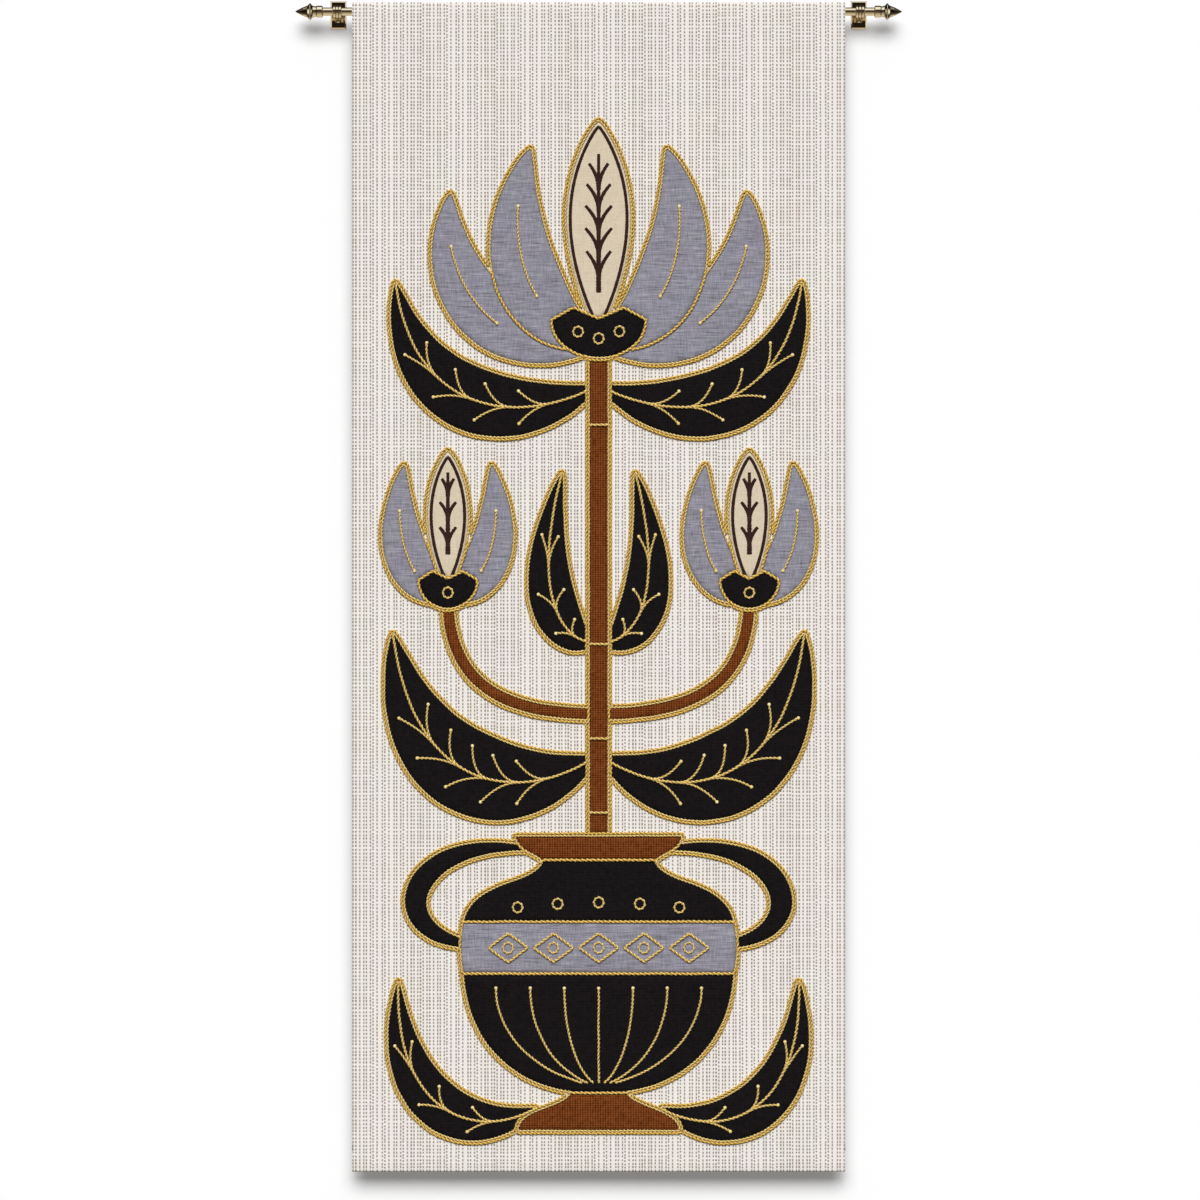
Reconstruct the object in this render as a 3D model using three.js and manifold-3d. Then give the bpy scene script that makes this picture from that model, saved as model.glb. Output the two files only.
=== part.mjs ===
// An appliqué wall hanging on its brass rod.
// A heavy ground cloth hangs flat from a rod that runs in a pocket behind its top edge.
// Patches of cloth are sewn to its face, and couched cords follow their edges.
// Millimetres: +X to the right seen from the front, +Y towards the wall, +Z up.
// The origin is the middle of the hem, half way through the depth of the whole piece.

import * as THREE from 'three';
import { mergeVertices } from 'three/addons/utils/BufferGeometryUtils.js';
import Module from 'manifold-3d';

const wasm = await Module();
wasm.setup();
const { Manifold, Mesh: SolidMesh } = wasm;

// ---- driving dimensions -------------------------------------------------

const gap = 0.3;                  // between two pieces that touch
const clothWidth = 720;
const clothHeight = 1707;
const clothThickness = 2;
const hemDepth = 30;              // turned up behind the bottom edge
const sideHemDepth = 20;          // turned in behind each side
const headingHeight = 4.4;        // the two layers sewn together above the rod
const pocketDrop = 28;            // from the rod's axis down to the pocket's seam
const seamAllowance = 10;         // double cloth under that seam

const rodRadius = 6;
const rodHalfLength = 403;
const wallDistance = 35;          // from the rod's axis to the wall

const bracketX = 382;
const plateWidth = 23;
const plateHeight = 41;
const plateThickness = 3;
const plateBevel = 1.8;
const plateRim = 1.4;             // how thick the plate is at its edge, behind the bevel
const plateDrop = 1;              // the plate's middle is this far under the rod's axis
const ringRadius = 8.7;
const ringGroove = 0.8;
const ringWidth = 13;
const ringRidges = 3;
const ridgeSlope = 1.2;
const postRadius = 3;
const screwRadius = 4.6;
const screwHeight = 2.6;
const screwDrop = 8;
const domeSteps = 3;
const slotWidth = 1.2;
const slotDepth = 1;

const patchThickness = 1;
const cordHeight = 4;             // how far a couched cord stands off the ground cloth
const singleCord = 5.4;           // one row of cord, between two patches
const doubleCord = 8.6;           // two rows side by side, round the outside

// ---- places that follow from them ---------------------------------------

const pocketRadius = rodRadius + gap;
const rodBehindFace = clothThickness + pocketRadius;
const faceY = -(rodBehindFace + wallDistance - cordHeight - gap) / 2;
const rodY = faceY + rodBehindFace;
const rodZ = clothHeight - headingHeight - pocketRadius - clothThickness;
const wallY = rodY + wallDistance;

// ---- materials ----------------------------------------------------------

function finish(color, roughness, metalness = 0) {
  return new THREE.MeshStandardMaterial({ color, roughness, metalness });
}

const groundCloth = finish(0xddd8d1, 0.9);
const blackTwill = finish(0x1b1919, 0.85);
const greyLinen = finish(0x8d8993, 0.9);
const creamCloth = finish(0xd6c7ae, 0.9);
const brownTwill = finish(0x70401c, 0.85);
const goldCord = finish(0xc9993c, 0.6);
const brass = finish(0xb49a62, 0.2, 1);

// ---- solids and meshes --------------------------------------------------

function solidOf(geometry) {
  const bare = geometry.clone();
  bare.deleteAttribute('normal');
  bare.deleteAttribute('uv');
  const merged = mergeVertices(bare, 1e-4);
  return new Manifold(new SolidMesh({
    numProp: 3,
    vertProperties: new Float32Array(merged.attributes.position.array),
    triVerts: new Uint32Array(merged.index.array),
  }));
}

function geometryOf(solid) {
  const { vertProperties, triVerts } = solid.getMesh();
  const geometry = new THREE.BufferGeometry();
  geometry.setAttribute('position', new THREE.BufferAttribute(vertProperties, 3));
  geometry.setIndex(new THREE.BufferAttribute(triVerts, 1));
  return geometry.toNonIndexed();
}

function mesh(name, geometry, material) {
  geometry.computeVertexNormals();
  const made = new THREE.Mesh(geometry, material);
  made.name = name;
  return made;
}

const union = (solids) => solids.reduce((all, one) => all.add(one));

const less = (solid, others) => others.reduce((left, one) => left.subtract(one), solid);

// ---- outlines on the face, as lists of [x, z] ----------------------------

// Moves every side of an outline outwards by a distance. No corner moves further than bluntest times it.
function grown(outline, distance) {
  const bluntest = 2;
  return outline.map(([x, z], i) => {
    const [px, pz] = outline.at(i - 1);
    const [nx, nz] = outline[(i + 1) % outline.length];
    const before = new THREE.Vector2(z - pz, px - x).normalize();
    const after = new THREE.Vector2(nz - z, x - nx).normalize();
    const corner = before.clone().add(after).divideScalar(1 + before.dot(after));
    corner.multiplyScalar(distance).clampLength(0, bluntest * distance);
    return [x + corner.x, z + corner.y];
  });
}

function counterClockwise(outline) {
  const points = outline.map(([x, z]) => new THREE.Vector2(x, z));
  return THREE.ShapeUtils.isClockWise(points) ? [...outline].reverse() : outline;
}

function mirrored(outline) {
  return counterClockwise(outline.map(([x, z]) => [-x, z]));
}

function curveThrough([start, lean, swing, end]) {
  return new THREE.CubicBezierCurve(
    new THREE.Vector2(...start), new THREE.Vector2(...lean),
    new THREE.Vector2(...swing), new THREE.Vector2(...end));
}

// The two sides of a strip that follows a curve; width(u) is half its width at u, from 0 to 1.
function stripOutline(spine, width, steps) {
  const curve = curveThrough(spine);
  const right = [];
  const left = [];
  for (let i = 0; i <= steps; i += 1) {
    const u = i / steps;
    const at = curve.getPoint(u);
    const along = curve.getTangent(u);
    const half = width(u);
    right.push([at.x + along.y * half, at.y - along.x * half]);
    if (half > 0) left.push([at.x - along.y * half, at.y + along.x * half]);
  }
  return counterClockwise([...right, ...left.reverse()]);
}

// A leaf or petal: pointed at both ends, widest where the belly is.
function leafOutline({ spine, halfWidth, belly = 0.5, steps = 12 }) {
  const fullness = 0.8;
  const lean = Math.log(0.5) / Math.log(belly);
  const width = (u) => {
    if (u <= 0 || u >= 1) return 0;
    return halfWidth * Math.sin(Math.PI * u ** lean) ** fullness;
  };
  return stripOutline(spine, width, steps);
}

// A piece of the urn: the same side curve on both sides of the middle, from its bottom to its top.
function turnedOutline(side, steps = 7) {
  const right = curveThrough(side).getPoints(steps).map(({ x, y }) => [x, y]);
  const left = right.map(([x, z]) => [-x, z]).reverse();
  return [...right, ...left];
}

// The cup under a flower: half an ellipse, closed by two low shoulders on top.
function cupOutline({ middle: [x, z], halfWidth, height, steps = 8 }) {
  const shoulder = { out: 0.55 * halfWidth, up: 0.3 * height };
  const outline = [];
  for (let i = 0; i <= steps; i += 1) {
    const angle = Math.PI + (Math.PI * i) / steps;
    outline.push([x + halfWidth * Math.cos(angle), z + height * Math.sin(angle)]);
  }
  outline.push([x + shoulder.out, z + shoulder.up], [x, z], [x - shoulder.out, z + shoulder.up]);
  return outline;
}

// ---- slabs: an outline given its thickness, its back at a depth behind the face ----

const shapeOf = (outline) => new THREE.Shape(outline.map(([x, z]) => new THREE.Vector2(x, z)));

function slab(outline, back, thickness) {
  const geometry = new THREE.ExtrudeGeometry(shapeOf(outline), {
    depth: thickness,
    bevelEnabled: false,
  });
  geometry.rotateX(Math.PI / 2);
  geometry.translate(0, back, 0);
  return solidOf(geometry);
}

const patchSlab = (outline) => slab(outline, -gap, patchThickness);
const cordSlab = (outline) => slab(outline, -gap, cordHeight);

// A cutter that goes through everything on the face.
const throughAll = (outline) => slab(outline, cordHeight, 3 * cordHeight);

// One row of cord laid over a patch.
function rib(spine, steps = 8) {
  const under = patchThickness + gap;
  return slab(stripOutline(spine, () => singleCord / 2, steps), -gap - under, cordHeight - under);
}

// ---- the pattern: an urn, a stem, leaves and flowers ---------------------

const bottom = 62;
const waist = 118;
const bandBottom = 292;
const bandTop = 362;
const neck = 452;
const urnTop = 488;
const stemHalfWidth = 12;
const stemTop = 1200;
const tieHeights = [524, 632, 770, 1090];

// Every spine and side is a curve's start, lean, swing and end, each as [x, z].
const urnPieces = [
  { name: 'urn_band', cloth: greyLinen, side: [[196, bandBottom], [201, 315], [201, 340], [196, bandTop]] },
  { name: 'urn_bowl', cloth: blackTwill, side: [[38, waist], [140, 132], [192, 205], [196, bandBottom]] },
  { name: 'urn_shoulder', cloth: blackTwill, side: [[196, bandTop], [186, 425], [96, 415], [80, neck]] },
  { name: 'urn_lip', cloth: brownTwill, side: [[80, neck], [84, 464], [112, 466], [120, urnTop]] },
  { name: 'urn_foot', cloth: brownTwill, side: [[116, bottom], [112, 92], [44, 92], [38, waist]] },
];

const handle = { halfWidth: 15, spine: [[160, 330], [330, 330], [290, 500], [90, 470]] };

const leafRows = [
  { name: 'leaf_foot', halfWidth: 34, spine: [[92, 92], [190, 40], [300, 96], [292, 276]] },
  { name: 'leaf_low', halfWidth: 60, spine: [[4, 606], [110, 536], [270, 546], [300, 784]], belly: 0.52 },
  { name: 'leaf_middle', halfWidth: 32, spine: [[4, 772], [54, 772], [100, 840], [54, 1018]] },
  { name: 'leaf_high', halfWidth: 46, spine: [[4, 1146], [104, 1092], [268, 1092], [296, 1296]], belly: 0.52 },
];

const sideStem = { halfWidth: 7, spine: [[0, 668], [116, 668], [220, 694], [220, 838]] };

const sideFlower = {
  cup: { middle: [220, 862], halfWidth: 40, height: 38 },
  petals: [
    { name: 'middle', cloth: creamCloth, halfWidth: 29, spine: [[220, 850], [220, 920], [220, 1000], [220, 1050]] },
    { name: 'outer', cloth: greyLinen, halfWidth: 31, spine: [[210, 842], [266, 842], [306, 910], [284, 1030]] },
    { name: 'inner', cloth: greyLinen, halfWidth: 31, spine: [[230, 842], [174, 842], [134, 910], [156, 1030]] },
  ],
};

const topFlower = {
  cup: { middle: [0, 1242], halfWidth: 66, height: 52 },
  middle: { halfWidth: 46, spine: [[0, 1226], [0, 1340], [0, 1450], [0, 1532]] },
  pairs: [
    { name: 'inner', halfWidth: 46, spine: [[-12, 1216], [92, 1216], [150, 1350], [100, 1492]] },
    { name: 'outer', halfWidth: 42, spine: [[-12, 1212], [146, 1176], [236, 1296], [216, 1426]] },
  ],
};

const sides = [
  { word: 'left', sign: -1, turn: mirrored },
  { word: 'right', sign: 1, turn: (outline) => outline },
];

// Lays one motif on the cloth: its patches, uppermost first, and one network of cords round them.
// What was laid before lies above it, so it cuts both the patches and the cords.
const laidBefore = [];

function layMotif({ cordName, pieces, ribs = [] }) {
  const meshes = [];
  const fields = [];
  const outers = [];
  const upper = [];
  for (const { name, outline, cloth } of pieces) {
    const cutAway = upper.map((above) => throughAll(grown(above, gap + singleCord + gap)));
    const patch = less(patchSlab(outline), [...cutAway, ...laidBefore]);
    meshes.push(mesh(name, geometryOf(patch), cloth));
    const taken = upper.map((above) => throughAll(grown(above, gap + singleCord)));
    fields.push(less(throughAll(grown(outline, gap)), taken));
    outers.push(cordSlab(grown(outline, gap + doubleCord)));
    upper.push(outline);
  }
  const edges = less(union(outers), [...fields, ...laidBefore]);
  const cords = union([edges, ...ribs.map((one) => less(one, laidBefore))]);
  meshes.push(mesh(cordName, geometryOf(cords), goldCord));
  laidBefore.push(...upper.map((outline) => throughAll(grown(outline, gap + doubleCord + gap))));
  return meshes;
}

function flowerTop() {
  const { cup, middle, pairs } = topFlower;
  const pieces = [
    { name: 'flower_top_cup', cloth: blackTwill, outline: cupOutline(cup) },
    { name: 'flower_top_middle', cloth: creamCloth, outline: leafOutline(middle) },
  ];
  for (const petal of pairs) {
    for (const { word, turn } of sides) {
      const name = `flower_top_${petal.name}_${word}`;
      pieces.push({ name, cloth: greyLinen, outline: turn(leafOutline(petal)) });
    }
  }
  return layMotif({ cordName: 'flower_top_cord', pieces });
}

function flowerAside({ word, turn }) {
  const { cup, petals } = sideFlower;
  const pieces = [{ name: `flower_${word}_cup`, cloth: blackTwill, outline: turn(cupOutline(cup)) }];
  for (const petal of petals) {
    const name = `flower_${word}_${petal.name}`;
    pieces.push({ name, cloth: petal.cloth, outline: turn(leafOutline(petal)) });
  }
  return layMotif({ cordName: `flower_${word}_cord`, pieces });
}

function urn() {
  const pieces = urnPieces.map(({ name, cloth, side }) => ({ name, cloth, outline: turnedOutline(side) }));
  for (const { word, turn } of sides) {
    pieces.push({ name: `urn_handle_${word}`, cloth: blackTwill, outline: turn(leafOutline(handle)) });
  }
  return layMotif({ cordName: 'urn_cord', pieces });
}

function stems() {
  const hidden = 20;   // the stem's foot is tucked this far behind the urn's lip
  const straight = [[0, urnTop - hidden], [0, 700], [0, 950], [0, stemTop]];
  const pieces = [{
    name: 'stem',
    cloth: brownTwill,
    outline: stripOutline(straight, () => stemHalfWidth, 1),
  }];
  for (const { word, turn } of sides) {
    const outline = stripOutline(sideStem.spine, () => sideStem.halfWidth, 10);
    pieces.push({ name: `stem_${word}`, cloth: brownTwill, outline: turn(outline) });
  }
  const reach = stemHalfWidth + singleCord / 2;
  const ties = tieHeights.map((z) => rib([[-reach, z], [-reach / 3, z], [reach / 3, z], [reach, z]], 1));
  return layMotif({ cordName: 'stem_cord', pieces, ribs: ties });
}

function leaf(row, { word, sign, turn }) {
  const name = `${row.name}_${word}`;
  const midrib = row.spine.map(([x, z]) => [x * sign, z]);
  return layMotif({
    cordName: `${name}_cord`,
    pieces: [{ name, cloth: blackTwill, outline: turn(leafOutline(row)) }],
    ribs: [rib(midrib)],
  });
}

function applique() {
  const group = new THREE.Group();
  group.position.y = faceY;
  group.add(...flowerTop());
  for (const side of sides) group.add(...flowerAside(side));
  group.add(...urn());
  group.add(...stems());
  for (const row of leafRows) {
    for (const side of sides) group.add(...leaf(row, side));
  }
  return group;
}

// ---- the ground cloth ----------------------------------------------------

// The section across the cloth, as [y behind the face, z]: the front sheet, the hem turned up
// behind it, the pocket wrapped round the rod, and the heading above the pocket.
function clothSection() {
  const t = clothThickness;
  const outerRadius = pocketRadius + t;
  const axis = new THREE.Vector2(rodBehindFace, rodZ);
  const seamTop = rodZ - pocketDrop;
  const seamEnd = seamTop - seamAllowance;
  const section = new THREE.Shape();
  section.moveTo(0, t);
  section.absarc(t, t, t, Math.PI, 2 * Math.PI * 0.75, false);
  section.absarc(t, t, t, 2 * Math.PI * 0.75, 2 * Math.PI, false);
  section.lineTo(2 * t, hemDepth);
  section.lineTo(t, hemDepth);
  section.lineTo(t, seamEnd);
  section.lineTo(2 * t, seamEnd);
  section.lineTo(2 * t, seamTop);
  const leave = tangentAngle(new THREE.Vector2(2 * t, seamTop), axis, outerRadius);
  const meet = Math.PI - Math.acos((axis.x - 2 * t) / outerRadius);
  section.absarc(axis.x, axis.y, outerRadius, leave, meet, false);
  section.lineTo(2 * t, clothHeight - t);
  section.absarc(t, clothHeight - t, t, 0, Math.PI, false);
  const pocket = new THREE.Path();
  const innerLeave = tangentAngle(new THREE.Vector2(t, seamTop), axis, pocketRadius);
  pocket.moveTo(t, rodZ);
  pocket.lineTo(t, seamTop);
  pocket.absarc(axis.x, axis.y, pocketRadius, innerLeave, Math.PI, false);
  section.holes.push(pocket);
  return section;
}

// The angle, seen from the middle of a circle, at which a line from a point below touches its back.
function tangentAngle(from, middle, radius) {
  const across = from.clone().sub(middle);
  return across.angle() - 2 * Math.PI + Math.acos(radius / across.length());
}

function ground() {
  const geometry = new THREE.ExtrudeGeometry(clothSection(), {
    depth: clothWidth,
    bevelEnabled: false,
    curveSegments: 14,
  });
  geometry.rotateX(Math.PI / 2);
  geometry.rotateZ(Math.PI / 2);
  geometry.translate(-clothWidth / 2, 0, 0);
  const sheet = solidOf(geometry);
  const joined = 0.5;  // how far the side hems reach into what they join, so that all is one solid
  const low = hemDepth - joined;
  const high = rodZ - pocketDrop - seamAllowance + joined;
  const hems = [-1, 1].map((sign) => {
    const hem = new THREE.BoxGeometry(sideHemDepth, clothThickness + joined, high - low);
    hem.translate(sign * (clothWidth - sideHemDepth) / 2, (3 * clothThickness - joined) / 2, (high + low) / 2);
    return solidOf(hem);
  });
  const made = mesh('ground_cloth', geometryOf(union([sheet, ...hems])), groundCloth);
  made.position.y = faceY;
  return made;
}

// ---- the rod, its ends and its brackets ----------------------------------

const alongX = (geometry) => geometry.rotateZ(-Math.PI / 2);

// A profile of [radius, distance along the axis], turned about the Y axis.
function turned(profile, segments) {
  return new THREE.LatheGeometry(profile.map(([r, y]) => new THREE.Vector2(r, y)), segments);
}

function rod() {
  const geometry = alongX(new THREE.CylinderGeometry(rodRadius, rodRadius, 2 * rodHalfLength, 40));
  const made = mesh('rod', geometry, brass);
  made.position.set(0, rodY, rodZ);
  return made;
}

// The turned end, from the rod outwards: [radius, distance from the rod's end].
const finialProfile = [
  [0, 0], [8.2, 0], [8.7, 1], [8.7, 8], [8.2, 9], [7.6, 10], [8.4, 14], [9.4, 15.6],
  [12.4, 17.8], [12.4, 18.6], [8.9, 22], [6.6, 28.3], [3.2, 35.3], [0.7, 39.6], [0, 40],
];

function finial(word, sign) {
  const geometry = alongX(turned(finialProfile, 28));
  if (sign < 0) geometry.rotateZ(Math.PI);
  const made = mesh(`finial_${word}`, geometry, brass);
  made.position.set(sign * (rodHalfLength + gap), rodY, rodZ);
  return made;
}

// A plate on the wall. Its edge goes straight forward by plateRim, then slopes in to the front face.
function plate(word) {
  const geometry = new THREE.BoxGeometry(plateWidth, plateThickness, plateHeight, 1, 2, 1);
  const position = geometry.attributes.position;
  const isFront = (y) => y < -plateThickness / 4;
  const isMiddle = (y) => Math.abs(y) < plateThickness / 4;
  for (let i = 0; i < position.count; i += 1) {
    const [x, y, z] = [position.getX(i), position.getY(i), position.getZ(i)];
    if (isMiddle(y)) position.setY(i, plateThickness / 2 - plateRim);
    if (isFront(y)) {
      position.setX(i, x - Math.sign(x) * plateBevel);
      position.setZ(i, z - Math.sign(z) * plateBevel);
    }
  }
  const made = mesh(`bracket_plate_${word}`, geometry, brass);
  made.position.set(0, wallDistance - plateThickness / 2, -plateDrop);
  return made;
}

// The post and the ridged ring that carries the rod.
function arm(word) {
  const inner = rodRadius + gap;
  const half = ringWidth / 2;
  const profile = [[inner, -half]];
  for (let i = 0; i < ringRidges; i += 1) {
    const from = -half + (i * ringWidth) / ringRidges;
    const to = from + ringWidth / ringRidges;
    profile.push([ringRadius - ringGroove, from]);
    profile.push([ringRadius, from + ridgeSlope], [ringRadius, to - ridgeSlope]);
  }
  profile.push([ringRadius - ringGroove, half], [inner, half], [inner, -half]);
  const ring = alongX(turned(profile, 32));
  const start = (inner + ringRadius) / 2;
  const end = wallDistance - plateThickness - gap;
  const post = new THREE.CylinderGeometry(postRadius, postRadius, end - start, 20);
  post.translate(0, (start + end) / 2, 0);
  return mesh(`bracket_arm_${word}`, geometryOf(solidOf(ring).add(solidOf(post))), brass);
}

// The fixing screw: a domed head with one slot.
function screw(word) {
  const rim = screwHeight / 3;
  const dome = [[0, 0], [screwRadius, 0]];
  for (let i = 0; i <= domeSteps; i += 1) {
    const angle = (Math.PI / 2) * (i / domeSteps);
    dome.push([screwRadius * Math.cos(angle), rim + (screwHeight - rim) * Math.sin(angle)]);
  }
  dome.at(-1)[0] = 0;
  const head = turned(dome, 24);
  const slot = new THREE.BoxGeometry(3 * screwRadius, 2 * slotDepth, slotWidth);
  slot.translate(0, screwHeight, 0);
  const cut = solidOf(head).subtract(solidOf(slot));
  const made = mesh(`bracket_screw_${word}`, geometryOf(cut), brass);
  made.rotation.x = Math.PI;
  made.position.set(0, wallDistance - plateThickness - gap, -screwDrop);
  return made;
}

function hangingGear() {
  const group = new THREE.Group();
  group.add(rod());
  for (const { word, sign } of sides) {
    group.add(finial(word, sign));
    const bracket = new THREE.Group();
    bracket.position.set(sign * bracketX, rodY, rodZ);
    bracket.add(plate(word), arm(word), screw(word));
    group.add(bracket);
  }
  return group;
}

// ---- the whole piece -----------------------------------------------------

const hanging = new THREE.Group();
hanging.name = 'applique_wall_hanging';
hanging.add(ground(), applique(), hangingGear());

export default hanging;
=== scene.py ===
# %% [markdown]
# # An appliqué wall hanging on its brass rod
#
# The real object is a flat cream cloth that hangs from a rod in a pocket behind its top edge.
# Shapes of black, grey, cream and brown cloth are sewn to its face, and gold cord is sewn down over
# every edge. A frame of plain solids already gives each piece its true place and size. This lesson
# dresses that frame: sheets for cloth, twisted cords, rows of stitches and polished brass.

# %% Load the frame
import math

import bmesh
import bpy
import numpy as np
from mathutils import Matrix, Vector, geometry, noise


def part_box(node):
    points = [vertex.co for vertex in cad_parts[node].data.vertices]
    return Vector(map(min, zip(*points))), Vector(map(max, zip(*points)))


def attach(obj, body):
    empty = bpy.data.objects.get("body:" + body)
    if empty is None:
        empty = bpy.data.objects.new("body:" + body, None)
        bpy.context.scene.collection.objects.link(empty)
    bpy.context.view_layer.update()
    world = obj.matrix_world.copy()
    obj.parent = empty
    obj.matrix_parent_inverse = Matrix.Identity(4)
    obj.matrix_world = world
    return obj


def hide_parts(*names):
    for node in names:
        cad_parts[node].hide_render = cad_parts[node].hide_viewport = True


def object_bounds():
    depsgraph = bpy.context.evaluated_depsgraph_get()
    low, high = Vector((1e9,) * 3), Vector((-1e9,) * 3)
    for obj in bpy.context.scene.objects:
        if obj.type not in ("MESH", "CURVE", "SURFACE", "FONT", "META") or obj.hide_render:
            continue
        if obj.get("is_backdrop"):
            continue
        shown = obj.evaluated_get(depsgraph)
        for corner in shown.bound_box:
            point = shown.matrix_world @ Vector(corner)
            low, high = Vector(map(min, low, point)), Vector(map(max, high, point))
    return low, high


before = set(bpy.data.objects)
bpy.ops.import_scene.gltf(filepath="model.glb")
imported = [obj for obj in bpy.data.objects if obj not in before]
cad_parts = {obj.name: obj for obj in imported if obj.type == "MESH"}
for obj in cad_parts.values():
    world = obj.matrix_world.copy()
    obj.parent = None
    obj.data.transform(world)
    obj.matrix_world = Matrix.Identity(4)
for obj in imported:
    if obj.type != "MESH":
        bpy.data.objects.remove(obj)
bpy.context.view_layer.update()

# %% [markdown]
# Every place in the scene starts from the frame, in metres: +X to the right, +Y towards the wall
# and +Z up. The face of the cloth, the rod and the wall are read from the frame's own boxes. Sizes
# that a maker would give in millimetres are multiplied by MM where they are used.

# %% Places that the frame gives
MM = 0.001
cloth_low, cloth_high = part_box("ground_cloth")
rod_low, rod_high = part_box("rod")

face = cloth_low.y
cloth_half = cloth_high.x
cloth_top = cloth_high.z
rod_half = rod_high.x
rod_y = (rod_low.y + rod_high.y) / 2
rod_z = (rod_low.z + rod_high.z) / 2
rod_radius = (rod_high.z - rod_low.z) / 2
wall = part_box("bracket_plate_left")[1].y
print(f"cloth {2 * cloth_half:.3f} x {cloth_top:.3f} m, rod at {rod_z:.4f} m, wall at {wall:.4f} m")

# %% [markdown]
# ## Camera
#
# The hanging is seen straight on, from far enough away that its sides stay parallel. A lens is
# chosen for the width of view at the face of the cloth, so the distance can change without the
# framing.

# %% Camera
view_width = 1.7515
camera_distance = 7.0
camera_drop = 19 * MM      # below the middle of the cloth
camera_shift = 2 * MM
sensor = 36.0

camera = bpy.data.cameras.new("camera")
camera.sensor_width = sensor
camera.lens = sensor * camera_distance / view_width
camera_object = bpy.data.objects.new("camera", camera)
camera_object.location = (camera_shift, face - camera_distance, cloth_top / 2 - camera_drop)
camera_object.rotation_euler = (math.radians(90), 0, 0)
bpy.context.scene.collection.objects.link(camera_object)
bpy.context.scene.camera = camera_object
print(f"lens {camera.lens:.1f} mm")

# %% [markdown]
# ## Helpers for node trees
#
# Materials and Geometry Nodes trees are both made of nodes and links. One small class adds a node,
# sets it and feeds its sockets, with a number or with another node's output. Everything later reads
# as a list of steps instead of pages of links.

# %% A class that builds node trees
class Nodes:
    """Adds nodes to a tree. An input takes a plain value or another node's output."""

    def __init__(self, tree):
        self.tree = tree

    def feed(self, socket, value):
        if isinstance(value, bpy.types.NodeSocket):
            self.tree.links.new(value, socket)
        else:
            socket.default_value = value

    def add(self, kind, inputs=(), **settings):
        node = self.tree.nodes.new(kind)
        for name, value in settings.items():
            setattr(node, name, value)
        for name, value in dict(inputs).items():
            self.feed(node.inputs[name], value)
        return node

    def math(self, operation, *values):
        return self.add("ShaderNodeMath", enumerate(values), operation=operation).outputs[0]

    def vector(self, operation, *values):
        return self.add("ShaderNodeVectorMath", enumerate(values), operation=operation).outputs[0]


# %% [markdown]
# Colours are written as a painter would pick them, from 0 to 255. Blender's sockets want linear
# light, so they are converted once here.

# %% Colours
def colour(*picked):
    """A picked colour, 0 to 255, as linear light with full cover."""
    def linear(share):
        return share / 12.92 if share <= 0.04045 else ((share + 0.055) / 1.055) ** 2.4

    return (*(linear(part / 255) for part in picked), 1.0)


# %% A class that builds materials
class Finish(Nodes):
    """A material. Patterns read the object's own coordinates, in metres."""

    def __init__(self, name, roughness, specular=0.5, sheen=0.0, metallic=0.0):
        self.material = bpy.data.materials.new(name)
        self.material.use_nodes = True
        super().__init__(self.material.node_tree)
        self.shader = self.tree.nodes["Principled BSDF"]
        values = {"Roughness": roughness, "Specular IOR Level": specular, "Sheen Weight": sheen,
                  "Metallic": metallic}
        for label, value in values.items():
            self.shader.inputs[label].default_value = value
        self.place = self.add("ShaderNodeTexCoord").outputs["Object"]

    def spread(self, size):
        """The place, divided by a size in millimetres along x, y and z."""
        scale = [1 / (part * MM) for part in size]
        return self.add("ShaderNodeMapping", {"Vector": self.place, "Scale": scale}).outputs[0]

    def noise(self, *size, detail=2.0, output="Fac"):
        """Cloudy noise, about 0.5, whose blotches have that size in millimetres."""
        inputs = {"Vector": self.spread(size), "Scale": 1.0, "Detail": detail}
        return self.add("ShaderNodeTexNoise", inputs).outputs[output]

    def ramp(self, value, stops, interpolation="LINEAR"):
        """Turns a value into a colour by stops of (place, colour)."""
        node = self.add("ShaderNodeValToRGB", {"Fac": value})
        ramp = node.color_ramp
        ramp.interpolation = interpolation
        ramp.elements.remove(ramp.elements[1])
        ramp.elements[0].position, ramp.elements[0].color = stops[0]
        for place, tint in stops[1:]:
            ramp.elements.new(place).color = tint
        return node.outputs["Color"]

    def mix(self, share, low, high, blend="MIX"):
        inputs = {0: share, 6: low, 7: high}
        return self.add("ShaderNodeMix", inputs, data_type="RGBA", blend_type=blend).outputs[2]

    def attribute(self, name):
        return self.add("ShaderNodeAttribute", attribute_name=name).outputs["Fac"]

    def bump(self, height, depth, strength):
        """Dents the surface by a height from 0 to 1, depth in millimetres."""
        inputs = {"Height": height, "Distance": depth * MM, "Strength": strength}
        self.feed(self.shader.inputs["Normal"], self.add("ShaderNodeBump", inputs).outputs["Normal"])

    def paint(self, tint):
        self.feed(self.shader.inputs["Base Color"], tint)
        return self.material


# %% [markdown]
# ## The ground cloth's weave
#
# The cloth is woven from thick cream yarns, and small dark holes stand between them in upright
# columns. The columns are unevenly spaced in a repeat of 56 yarns, and so are the holes in a
# column. It is charted here as a weaver would: each number is how many yarns lie from one column to
# the next. Three kinds of column each have their own chart of holes, so that neighbouring bands
# step differently. A ramp with hard stops turns a chart into stripes, and a column's stripe times
# its row's stripe is a hole.

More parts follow.
